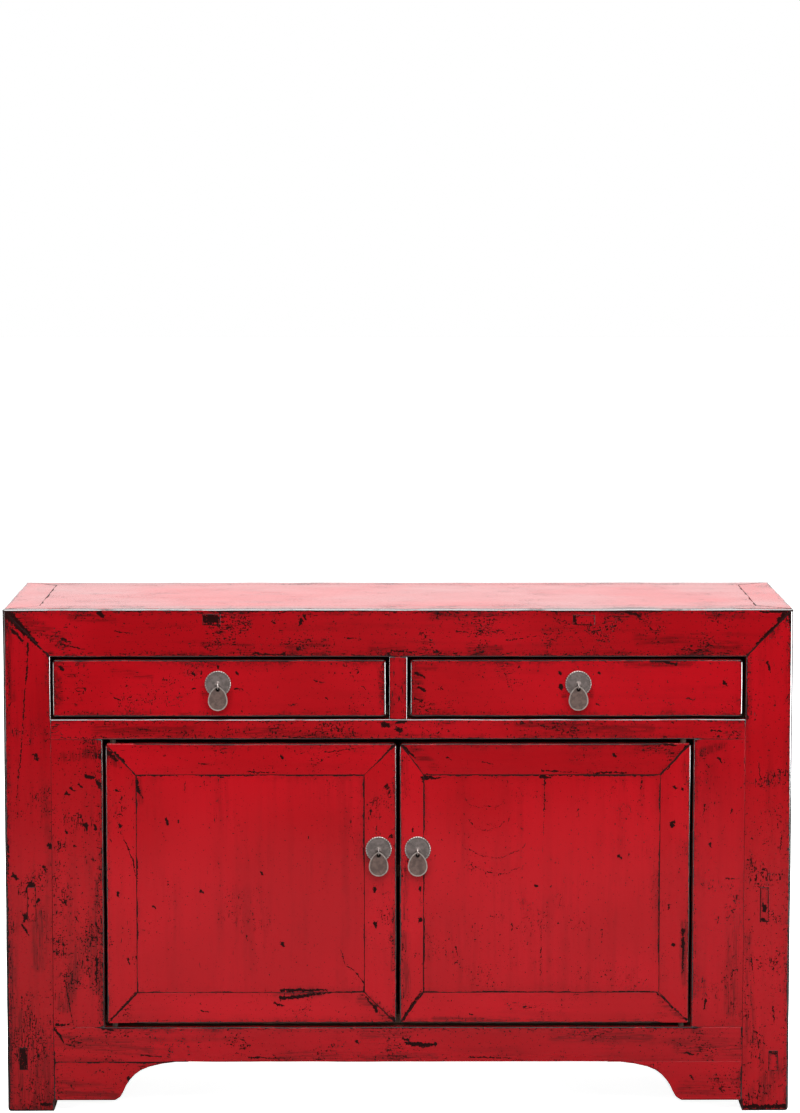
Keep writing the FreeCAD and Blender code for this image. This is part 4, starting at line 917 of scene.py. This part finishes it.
for endName, outer, inner in (("front", railLow.y, railHigh.y), ("back", backHigh.y, backLow.y)):
    name = f"top_rail_{endName}"
    low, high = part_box(name)
    cuts = []
    for sign in (-1, 1):
        cuts.append(turnedTo(faceMitre(sign, outer), (sign * legHigh.x, outer, 0)))
        cuts.append(turnedTo(planMitre(sign, outer, inner), (sign * far, (outer + inner) / 2, legHigh.z)))
    piece = makeBoard(name, "cabinet", low, high, "X", cuts=cuts, cell=0.015, special=roundTopEdge,
                      stands=[name])
    lacquer(piece, name, low, high, "X", lines=cuts, **marksOf(name), lineWear=2.2, edgeWear=2.7, specks=0.64,
            streaks=0.7, dirt=1.0, shade=0.82, relief=0.5)
print("made the legs and the frame of the top")


# flat boards of the carcass

def framePlanes(low, high, axes):
    # the planes at a board's ends, where joint lines run
    planes = []
    for axis in axes:
        normal = [0, 0, 0]
        normal[axis] = 1
        planes.append((tuple(low), tuple(normal)))
        planes.append((tuple(high), tuple(normal)))
    return planes


betweenLegs = {"x": (-legLow.x, legLow.x)}
betweenEnds = {"y": (legHigh.y, backLegFront)}
frameDepth = (-0.1494, 0.163)      # what shows between the front and the back rail of the top
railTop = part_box("bottom_rail_front")[1].z
drawerRail = [corner.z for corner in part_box("drawer_rail")]
wing = {"z": (railTop, drawerRail[0]), "grain": "Z", "rounding": 3.1}

flatBoards = {
    # nodes: where they are seen, their grain, and how they wear
    ("top_panel",): {"x": (-sideLow.x, sideLow.x), "y": frameDepth, "grain": "X", "specks": 0.38,
                     "streaks": 0.6, "edgeWear": 1.2, "lines": "ends", "lineWear": 2.2, "relief": 0.4},
    ("drawer_rail",): {**betweenLegs, "grain": "X", "shade": 0.88, "specks": 0.55, "streaks": 0.8},
    ("drawer_divider",): {"z": (drawerRail[1], railLow.z), "grain": "Z", "shade": 0.8, "specks": 0.5,
                          "streaks": 0.4, "edgeWear": 1.8, "rounding": 1.5},
    ("wing_board_left",): {**wing, "shade": 0.84, "specks": 0.7, "streaks": 0.6},
    ("wing_board_right",): {**wing, "shade": 0.86, "specks": 0.42, "streaks": 0.5},
    ("bottom_rail_front",): {**betweenLegs, "grain": "X", "shade": 0.87, "specks": 0.52, "streaks": 0.7,
                             "lines": "ends", "lineWear": 3.0, "upperShine": 0.08},
    ("bottom_rail_back",): {**betweenLegs, "grain": "X"},
    ("bottom_rail_left", "bottom_rail_right"): {**betweenEnds, "grain": "Y", "specks": 0.6, "streaks": 0.6,
                                                "upperShine": 0.1},
    ("shelf_bearer_left", "shelf_bearer_right"): {**betweenEnds, "grain": "Y"},
    ("side_panel_left", "side_panel_right"): {**betweenEnds, "z": (railTop, railLow.z), "grain": "Z",
                                              "specks": 0.6, "streaks": 0.7},
    ("back_panel",): {**betweenLegs, "z": (railTop, railLow.z), "grain": "Z",
                      "planks": (-0.352, -0.118, 0.094, 0.331)},
}
makingWords = ("rounding", "upperShine")
wearWords = ("specks", "streaks", "edgeWear", "shade", "dirt", "lineWear", "relief", "planks")


def chosen(look, words):
    return {word: look[word] for word in words if word in look}


for names, look in flatBoards.items():
    for name in names:
        low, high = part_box(name)
        for axis, letter in enumerate("xyz"):
            if letter in look:
                low[axis], high[axis] = look[letter]
        grain = look["grain"]
        piece = makeBoard(name, "cabinet", low, high, grain, stands=[name], **chosen(look, makingWords))
        lines = framePlanes(low, high, [0]) if "lines" in look else []
        lines += [((x, 0, 0), (1, 0, 0)) for x in look.get("planks", ())]
        lacquer(piece, name, low, high, grain, lines=lines, **marksOf(name), **chosen(look, wearWords))

battenWidth = 0.040
battenLow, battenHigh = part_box("top_battens")
for name, stands, spanX in (("top_battens", ["top_battens"], (battenLow.x, battenLow.x + battenWidth)),
                            ("top_batten_right", [], (battenHigh.x - battenWidth, battenHigh.x))):
    low = (spanX[0], frameDepth[0], battenLow.z)
    high = (spanX[1], frameDepth[1], battenHigh.z)
    piece = makeBoard(name, "cabinet", low, high, "Y", stands=stands)
    lacquer(piece, name, low, high, "Y")
print("made the flat boards")


# the ends of tenons that come through the frame

tenonEnds = {
    # name: x and z on the front, then the dark marks on the end, all in millimetres
    "batten_end_left": {"x": (-324, -294), "z": (822, 841), "dark": [(-317, 832, -301, 831, 11, 9)]},
    "batten_end_right": {"x": (289, 326), "z": (822, 839), "dark": [(291, 838, 294, 824, 5, 3)]},
    "bearer_end_left": {"x": (-619, -604), "z": (324, 382), "dark": []},
    "bearer_end_right": {"x": (604, 619), "z": (322, 381),
                         "dark": [(608, 326, 615, 324, 3, 2), (612, 349, 611, 341, 6, 5)]},
    "rail_end_left": {"x": (-635, -621), "z": (71, 109), "dark": [(-628, 76, -628, 104, 9, 9)]},
    "rail_end_right": {"x": (621, 637), "z": (68, 103), "dark": [(624, 100, 634, 98, 3, 2)]},
}

tenonDepths = {"front": (-0.1936, -0.185), "back": (0.199, 0.2072)}      # from and to, in metres

for name, end in tenonEnds.items():
    for place, spanY in tenonDepths.items():
        endName = f"{name}_{place}"
        low, high = ((end["x"][side] * mm, spanY[side], end["z"][side] * mm) for side in (0, 1))
        piece = makeBoard(endName, "cabinet", low, high, "Y", cell=0.006, rounding=0.7, boxes=[], shine=0.1)
        fill = [frontMark(*numbers) for numbers in end["dark"]] if place == "front" else []
        lacquer(piece, endName, low, high, "Z", marks=fill, edgeWear=1.6, specks=0.6, dirt=0.7, shade=0.86)
print("made the tenon ends")


# the shaped brackets

bracketShape = {
    # along the lower edge: x from the middle, and z, in millimetres like the rest
    "outline": [(351, 84.5), (372, 83.5), (396, 80.5), (418, 75.5), (432, 69.5), (442, 62), (450, 53),
                (456, 44), (461, 33), (466, 24), (475, 18), (577, 18)],
    "thick": 20,
    "dip": 0.4,                  # how much lower the thin end hangs at its very tip
    "heights": (-50, 120),       # beyond the bracket, so that the wear follows only its two ends
    "openSeam": {-1: [84.5], 1: []},      # only the left bracket's seam has opened a little
}


hair = 1e-6      # points nearer than this are one, in metres


def makeBracket(name, sign, stands):
    # a plane along the front, its outline pulled out point by point, then given its thickness
    deselectAll()
    outline = [(x * mm * sign, z * mm) for x, z in bracketShape["outline"]]
    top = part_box("apron_brackets")[1].z
    front = skin["front"]
    bpy.ops.mesh.primitive_plane_add(size=1.0, location=(0, 0, 0))
    piece = bpy.context.active_object
    piece.name = name
    piece.data.name = name
    bpy.ops.object.mode_set(mode="EDIT")
    mesh = bmesh.from_edit_mesh(piece.data)
    corners = sorted(mesh.verts, key=lambda corner: (corner.co.x, corner.co.y))
    first, second = outline[0], outline[1]
    spots = [(first[0], front, top), (first[0], front, first[1] - bracketShape["dip"] * mm),
             (second[0], front, top), (second[0], front, second[1])]
    for corner, spot in zip((corners[1], corners[0], corners[3], corners[2]), spots):
        corner.co = spot
    bmesh.update_edit_mesh(piece.data)
    for x, z in outline[2:]:
        mesh = bmesh.from_edit_mesh(piece.data)
        mesh.verts.ensure_lookup_table()
        furthest = max(abs(corner.co.x) for corner in mesh.verts)
        chooseEdges(piece, lambda edge: all(abs(corner.co.x) > furthest - hair for corner in edge.verts))
        bpy.ops.mesh.extrude_edges_move(TRANSFORM_OT_translate={"value": (0, 0, 0)})
        mesh = bmesh.from_edit_mesh(piece.data)
        picked = sorted((corner for corner in mesh.verts if corner.select), key=lambda corner: corner.co.z)
        picked[0].co = (x, front, z)
        picked[-1].co = (x, front, top)
        bmesh.update_edit_mesh(piece.data)
    bpy.ops.mesh.select_all(action="SELECT")
    bpy.ops.mesh.extrude_region_move(TRANSFORM_OT_translate={"value": (0, bracketShape["thick"] * mm, 0)})
    bpy.ops.mesh.select_all(action="SELECT")
    bpy.ops.mesh.remove_doubles(threshold=hair)
    bpy.ops.mesh.normals_make_consistent(inside=False)
    bpy.ops.object.mode_set(mode="OBJECT")
    finishBoard(piece, "cabinet", neighbours("cabinet", ["apron_brackets"]), stands)
    return piece


for name, sign, stands in (("apron_brackets", -1, ["apron_brackets"]), ("apron_bracket_right", 1, [])):
    piece = makeBracket(name, sign, stands)
    ends = sorted(sign * bracketShape["outline"][index][0] * mm for index in (0, -1))
    joints = [((sign * legLow.x, 0, 0), (1, 0, 0))]
    joints += [((0, 0, z * mm), (0, 0, 1)) for z in bracketShape["openSeam"][sign]]
    front, heights = skin["front"], bracketShape["heights"]
    lacquer(piece, name, (ends[0], front, heights[0] * mm),
            (ends[1], front + bracketShape["thick"] * mm, heights[1] * mm), "X", lines=joints, lineWear=2.6,
            **marksOf("apron_brackets"), shade=0.88, specks=0.6, streaks=0.5)
print("made the brackets")


# the doors

doorSet = {
    "stile": 50, "lockStiles": {"left": 52, "right": 38}, "rail": 52, "thick": 28, "panelThick": 16,      # mm
    "cornerCut": 3.5,
    "gap": 4.0,          # from the middle to each lock stile in the CAD
    "meeting": 2.9,      # from the middle to each door's edge here
    "pivot": {"radius": 5.0, "inset": 12.0, "behind": 10.0, "sink": 2.0, "rounding": 0.8,
              "light": rgb(0.10, 0.05, 0.03), "dark": rgb(0.03, 0.015, 0.01)},
    "shades": {"door_right_top_rail": 0.88, "door_left_top_rail": 0.96},
    "dirt": {"X": 0.7, "Z": 0.55},      # on the rails and on the stiles
    # the flat-sawn grain of the right panel: centre, bottom, reach, rise and width of each arch, mm
    "arches": {"left": [], "right": [(150, 478, 42, 40, 0.9), (162, 432, 55, 30, 1.15),
                                     (168, 405, 48, 22, 1.15), (146, 516, 36, 20, 0.8)]},
    "archAngles": range(-78, 79, 26),
    "stroke": {"stray": 3.0, "short": 3.0, "thin": 0.6},      # how the strokes of an arch are drawn, mm
}


def archMarks(centre, bottom, reach, rise, wide):
    # a pointed arch of flat-sawn grain, drawn as short strokes that lie a little off it
    stroke, marks = doorSet["stroke"], []
    turns = [math.radians(angle) for angle in doorSet["archAngles"]]
    spots = [(centre + reach * math.sin(turn), bottom + rise * (1 - math.cos(turn))) for turn in turns]
    for index, ((x1, z1), (x2, z2)) in enumerate(zip(spots, spots[1:])):
        drop = stroke["stray"] * math.sin(2.3 * index + centre)
        x2, z2 = x2 - stroke["short"], z2 + drop * 0.4
        marks.append(frontMark(x1, z1 + drop, x2, z2, wide, wide * stroke["thin"]))
    return marks


def cornerCuts(spanX, spanZ, y, cut):
    # planes that take off the four corners; each end of a span has its outward sign beside it
    return [((x - toX * cut * mm, y, z), unit(toX, 0, toZ)) for x, toX in spanX for z, toZ in spanZ]


def makePivot(body, tier, x, spanZ):
    # one of the two wooden pivots that a door turns on
    pivot = doorSet["pivot"]
    deselectAll()
    bpy.ops.mesh.primitive_cylinder_add(vertices=32, radius=pivot["radius"] * mm, depth=spanZ[1] - spanZ[0],
                                        location=(x, skin["front"] + pivot["behind"] * mm, sum(spanZ) / 2))
    piece = bpy.context.active_object
    piece.name = f"{body}_pivot_{tier}"
    bpy.ops.object.transform_apply(location=True, rotation=True, scale=True)
    useModifier(piece, "BEVEL", width=pivot["rounding"] * mm, segments=2, limit_method="ANGLE")
    smoothBoard(piece)
    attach(piece, body)
    dress(piece, elmMaterial(piece.name + "_wood", "Z", pivot["light"], pivot["dark"]))


for sideName, sign in (("left", -1), ("right", 1)):
    body = f"door_{sideName}"
    hingeLow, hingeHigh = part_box(f"{body}_hinge_stile")
    low, high = (corner.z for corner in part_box(f"{body}_lock_stile"))
    outerX, innerX = sign * max(abs(hingeLow.x), abs(hingeHigh.x)), sign * doorSet["meeting"] * mm
    front, back = skin["front"], skin["front"] + doorSet["thick"] * mm
    lock = (doorSet["lockStiles"][sideName] + doorSet["gap"] - doorSet["meeting"]) * mm
    rail = doorSet["rail"] * mm
    panelOuter, panelInner = outerX - sign * doorSet["stile"] * mm, innerX + sign * lock
    # each side and tier: the door's edge, the panel's edge, and a place far outside
    sides = {"hinge": (outerX, panelOuter, sign * far), "lock": (innerX, panelInner, -sign * far)}
    tiers = {"top": (high, high - rail, far), "bottom": (low, low + rail, -far)}
    mitres = {(side, tier): mitrePlane((spanX[0], front, spanZ[0]), (spanX[1], front, spanZ[1]), (0, 1, 0))
              for side, spanX in sides.items() for tier, spanZ in tiers.items()}
    middleX, middleZ = (outerX + innerX) / 2, (low + high) / 2
    parts = {}
    for side, spanX in sides.items():
        cuts = [turnedTo(mitres[side, tier], (middleX, front, tiers[tier][2])) for tier in tiers]
        parts[side + "_stile"] = (spanX[:2], (low, high), "Z", cuts)
    for tier, spanZ in tiers.items():
        cuts = [turnedTo(mitres[side, tier], (sides[side][2], front, middleZ)) for side in sides]
        parts[tier + "_rail"] = ((outerX, innerX), sorted(spanZ[:2]), "X", cuts)
    edgesX, edgesZ = ((outerX, sign), (innerX, -sign)), ((low, -1), (high, 1))
    corners = cornerCuts(edgesX, edgesZ, front, doorSet["cornerCut"])
    for partName, (spanX, spanZ, grain, cuts) in parts.items():
        name = f"{body}_{partName}"
        boardLow, boardHigh = (min(spanX), front, spanZ[0]), (max(spanX), back, spanZ[1])
        piece = makeBoard(name, body, boardLow, boardHigh, grain, cuts=cuts + corners, cell=0.013,
                          rounding=2.6, stands=[name], upperShine=0.06)
        lacquer(piece, name, boardLow, boardHigh, grain, lines=cuts, **marksOf(name), lineWear=1.5,
                specks=0.42, streaks=0.35, dirt=doorSet["dirt"][grain],
                shade=doorSet["shades"].get(name, 1.0))
    name = f"{body}_panel"
    boardLow = (min(panelOuter, panelInner), front, low + rail)
    boardHigh = (max(panelOuter, panelInner), front + doorSet["panelThick"] * mm, high - rail)
    panelMarks = marksOf(name)
    for arch in doorSet["arches"][sideName]:
        panelMarks["marks"] += archMarks(*arch)
    piece = makeBoard(name, body, boardLow, boardHigh, "Z", cell=0.018, joint=0.35, stands=[name])
    lacquer(piece, name, boardLow, boardHigh, "Z", lines=framePlanes(boardLow, boardHigh, [0, 2]),
            **panelMarks, edgeWear=7.0, lineWear=2.2, specks=0.30, streaks=0.4, dirt=0.8, shade=0.97)
    sink, pivotX = doorSet["pivot"]["sink"] * mm, outerX - sign * doorSet["pivot"]["inset"] * mm
    makePivot(body, "top", pivotX, (high - sink, hingeHigh.z))
    makePivot(body, "bottom", pivotX, (hingeLow.z, low + sink))
print("made the doors")


# the drawer fronts

drawerSet = {"cornerCut": 3.0, "taller": 1.8, "wider": {"left": 2.0, "right": 0.0}}      # mm

for sideName in ("left", "right"):
    body = f"drawer_{sideName}"
    name = f"{body}_front"
    low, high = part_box(name)
    high.z += drawerSet["taller"] * mm
    low.x -= drawerSet["wider"][sideName] * mm
    cuts = cornerCuts(((low.x, -1), (high.x, 1)), ((low.z, -1), (high.z, 1)), low.y, drawerSet["cornerCut"])
    piece = makeBoard(name, body, low, high, "X", cuts=cuts, cell=0.014, stands=[name], boxes=[],
                      rounding=2.6, upperShine=0.03)
    lacquer(piece, name, low, high, "X", **marksOf(name), specks=0.42, streaks=0.3, dirt=0.9, shade=0.91,
            edgeWear=2.6)
print("made the drawer fronts")


# the wood inside, on the CAD nodes

insideWood = {
    "drawer_runners": "Y", "floor_board": "X", "shelf": "X", "back_middle_rail": "X",
    "drawer_left_sides": "Y", "drawer_right_sides": "Y", "drawer_left_back": "X", "drawer_right_back": "X",
    "drawer_left_bottom": "X", "drawer_right_bottom": "X", "door_left_batten": "X", "door_right_batten": "X",
}
elm = {
    "X": elmMaterial("elm_lengthwise", "X", rgb(0.17, 0.10, 0.06), rgb(0.045, 0.027, 0.018)),
    "Y": elmMaterial("elm_frontToBack", "Y", rgb(0.16, 0.095, 0.058), rgb(0.042, 0.026, 0.017)),
}
for name, grain in insideWood.items():
    dress(nodes[name], elm[grain])


# the metal

metal = {
    # field colour, rim colour, how far forward the rim stands, and how far the painted shade around the hole
    # reaches, in metres
    "plate": {"field": rgb(0.38, 0.315, 0.295), "rim": rgb(0.75, 0.69, 0.66), "rimFrom": -0.1952,
              "holeShadeFrom": 0.0045, "holeShadeTo": 0.0070},
    "pull": {"field": rgb(0.34, 0.235, 0.205), "rim": rgb(0.70, 0.62, 0.57), "rimFrom": -0.2019,
             "holeShadeFrom": 0.0030, "holeShadeTo": 0.0040},
    "eye": {"field": rgb(0.55, 0.50, 0.47), "rim": rgb(0.75, 0.70, 0.67), "rimFrom": -1.0},
    "rimFade": 0.0001, "holeDrop": 0.0058,
    # the first colour here is the painted shade around each pull's hole; the grime is real
    "holeShade": rgb(0.008, 0.006, 0.005), "grime": rgb(0.05, 0.04, 0.036),
    "flutes": 32, "fluteBand": (0.0196, 0.0204),
    "cloudy": (120.0, 4.0, 0.6), "pits": (1100.0, 3.0, 0.6),      # scale, detail and roughness
}


def metalMaterial(name, look, hole=None, centre=None):
    # aged white metal: cloudy and pitted in the field, rubbed bright along its raised rim, with painted shade
    # around the pull's hole
    material, tree, shader = newMaterial(name)
    coords = objectPlace(tree)
    forward = splitAxes(tree, coords)[1]
    flat = (1.0, 0.0, 1.0)
    cloudy = grainNoise(tree, coords, *metal["cloudy"])
    pits = grainNoise(tree, coords, *metal["pits"])
    colour = blendColour(tree, ramp(tree, cloudy, 0.36, 0.64), shaded(look["field"], 0.62), look["field"])
    colour = blendColour(tree, ramp(tree, pits, 0.58, 0.72, 0.0, 0.6), colour, metal["grime"])
    # painted shade: a dark patch around the pull's hole, so that the hole reads dark
    if hole:
        away = vectorCalc(tree, "MULTIPLY", vectorCalc(tree, "SUBTRACT", coords, hole), flat)
        holeShading = ramp(tree, vectorCalc(tree, "LENGTH", away), look["holeShadeFrom"], look["holeShadeTo"], 1.0, 0.0)
        colour = blendColour(tree, holeShading, colour, metal["holeShade"])
    rimFrom, fade = look["rimFrom"], metal["rimFade"]
    rim = ramp(tree, forward, rimFrom - fade, rimFrom + fade, 1.0, 0.0)
    rim = times(tree, rim, ramp(tree, cloudy, 0.35, 0.55, 0.5, 1.0))
    if centre:
        # dark notches between the flutes of the rim
        around = vectorCalc(tree, "SUBTRACT", coords, centre)
        spot = splitAxes(tree, around)
        turn = times(tree, calc(tree, "ARCTAN2", spot[2], spot[0]), float(metal["flutes"]))
        reach = vectorCalc(tree, "LENGTH", vectorCalc(tree, "MULTIPLY", around, flat))
        notch = ramp(tree, calc(tree, "COSINE", turn), 0.1, 0.8)
        notch = times(tree, notch, ramp(tree, reach, *metal["fluteBand"]))
        rim = times(tree, rim, calc(tree, "MULTIPLY_ADD", notch, -0.85, 1.0))
        colour = blendColour(tree, times(tree, notch, 0.7), colour, metal["grime"])
    colour = blendColour(tree, rim, colour, look["rim"])
    plug(tree, shader, "Base Color", colour)
    plug(tree, shader, "Roughness", ramp(tree, cloudy, 0.3, 0.7, 0.5, 0.36))
    shader.inputs["Metallic"].default_value = 0.8
    giveBump(tree, shader, calc(tree, "MULTIPLY_ADD", cloudy, 0.15, times(tree, pits, 0.05)))
    return material


eyeMetal = metalMaterial("eye_metal", metal["eye"])
for sideName in ("left", "right"):
    for kind in ("door", "drawer"):
        name = f"{kind}_{sideName}"
        low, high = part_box(name + "_pull")
        # painted shade behind the hole of each pull, where the hole shows dark
        hole = ((low.x + high.x) / 2, 0.0, high.z - metal["holeDrop"])
        middle = tuple(sum(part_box(name + "_plate"), Vector()) / 2)
        for part, centre in (("plate", middle), ("pull", None)):
            dress(nodes[f"{name}_{part}"], metalMaterial(f"{name}_{part}_metal", metal[part], hole, centre))
        dress(nodes[name + "_pin"], eyeMetal)
print("dressed the metal and the inside")


# floor, light and camera

studio = {
    "lights": {
        "overhead": {"place": (0.0, -2.2, 4.0), "size": (5.0, 4.0), "radiance": 4.4},
        "rightEdge": {"place": (3.5, -1.8, 0.43), "size": (2.3, 0.8), "radiance": 14.0, "soft": False},
        "rightFill": {"place": (3.0, -2.4, 0.5), "size": (1.2, 0.9), "radiance": 11.0, "gloss": False},
        "leftStrip": {"place": (-3.3, -2.4, 0.43), "size": (0.8, 0.8), "radiance": 9.0, "soft": False},
        "leftFill": {"place": (-3.0, -2.4, 0.5), "size": (1.2, 0.9), "radiance": 10.0, "gloss": False},
        "frontFill": {"place": (0.0, -8.0, 2.4), "size": (3.5, 1.2), "radiance": 6.0, "gloss": False},
        "topLight": {"place": (0.0, 1.6, 3.4), "size": (3.4, 1.6), "radiance": 4.2},
    },
    "aim": (0.0, 0.0, 0.45),
    "behind": 1.15, "ahead": 0.02,      # strength of the sky behind the cabinet and ahead of it
    "broadSky": (-0.15, 0.55), "narrowSky": (0.55, 0.9),      # where it turns bright, and in a polished face
    "floorSize": 60.0, "floorLevel": -0.0005, "floorGlow": 0.9,
    "floorPaint": {"Base Color": rgb(0.9, 0.9, 0.9), "Roughness": 0.9, "Specular IOR Level": 0.0},
    # what the front mirrors of the floor: bright close by, and a faint patch far ahead of the middle
    "near": (-3.9, -2.1, 0.015, 0.18),
    "patchMiddle": 0.15, "patchAcross": (0.25, 1.0, 0.075, 0.0), "patchAlong": (-5.0, -4.0, 1.0, 0.0),
    "camera": {"place": (-0.0173, -6.1615, 1.5525), "tilt": 5.896, "yaw": 0.196, "lens": 117.42,
               "sensor": 36.0, "reach": 200.0},
}

deselectAll()
bpy.ops.mesh.primitive_plane_add(size=studio["floorSize"], location=(0, 0, studio["floorLevel"]))
floor = bpy.context.active_object
floor.name = "floor"
bpy.ops.object.transform_apply(location=True, rotation=True, scale=True)
floorPaint, tree, shader = newMaterial("floor_paint")
for socket, value in studio["floorPaint"].items():
    plug(tree, shader, socket, value)
glow = addNode(tree, "ShaderNodeEmission", {"Color": rgb(1, 1, 1), "Strength": studio["floorGlow"]})
both = addNode(tree, "ShaderNodeAddShader", {0: shader.outputs[0], 1: glow.outputs[0]})
ground = splitAxes(tree, objectPlace(tree))
aside = calc(tree, "ABSOLUTE", calc(tree, "SUBTRACT", ground[0], studio["patchMiddle"]))
patch = times(tree, ramp(tree, aside, *studio["patchAcross"]), ramp(tree, ground[1], *studio["patchAlong"]))
dimness = calc(tree, "ADD", ramp(tree, ground[1], *studio["near"]), patch)
dimPaint = addNode(tree, "ShaderNodeBsdfDiffuse", {"Color": dimness})
ray = addNode(tree, "ShaderNodeLightPath").outputs
links = {0: ray["Is Camera Ray"], 1: dimPaint.outputs[0], 2: both.outputs[0]}
pick = addNode(tree, "ShaderNodeMixShader", links)
plug(tree, tree.nodes["Material Output"], "Surface", pick.outputs[0])
dress(floor, floorPaint)

world = bpy.data.worlds.new("studio")
bpy.context.scene.world = world
world.use_nodes = True
tree = world.node_tree
sky = tree.nodes["Background"]
toward = addNode(tree, "ShaderNodeTexCoord").outputs["Generated"]
backward = splitAxes(tree, toward)[1]
broad = ramp(tree, backward, *studio["broadSky"], studio["ahead"], studio["behind"])
narrow = ramp(tree, backward, *studio["narrowSky"], studio["ahead"], studio["behind"])
ray = addNode(tree, "ShaderNodeLightPath").outputs
level = blendValue(tree, ray["Is Glossy Ray"], broad, narrow)
plug(tree, sky, "Color", rgb(1, 1, 1))
plug(tree, sky, "Strength", blendValue(tree, ray["Is Camera Ray"], level, 1.0))


def addSoftbox(name, place, size, radiance, soft=True, gloss=True):
    lamp = bpy.data.lights.new(name, "AREA")
    lamp.shape = "RECTANGLE"
    lamp.size, lamp.size_y = size
    lamp.energy = radiance * math.pi * size[0] * size[1]
    box = bpy.data.objects.new(name, lamp)
    bpy.context.scene.collection.objects.link(box)
    box.location = place
    box.rotation_euler = (Vector(studio["aim"]) - Vector(place)).to_track_quat("-Z", "Y").to_euler()
    box.visible_camera = False
    box.visible_diffuse = soft      # the strips only draw the edges
    box.visible_glossy = gloss


for name, setup in studio["lights"].items():
    addSoftbox(name, **setup)

setup = studio["camera"]
camera = bpy.data.cameras.new("camera")
camera.lens = setup["lens"]
camera.sensor_width = setup["sensor"]
camera.clip_end = setup["reach"]
cameraObject = bpy.data.objects.new("camera", camera)
bpy.context.scene.collection.objects.link(cameraObject)
cameraObject.location = setup["place"]
cameraObject.rotation_euler = (math.radians(90.0 - setup["tilt"]), 0.0, -math.radians(setup["yaw"]))
bpy.context.scene.camera = cameraObject
bpy.context.scene.view_settings.view_transform = "Standard"
print("set the stage")
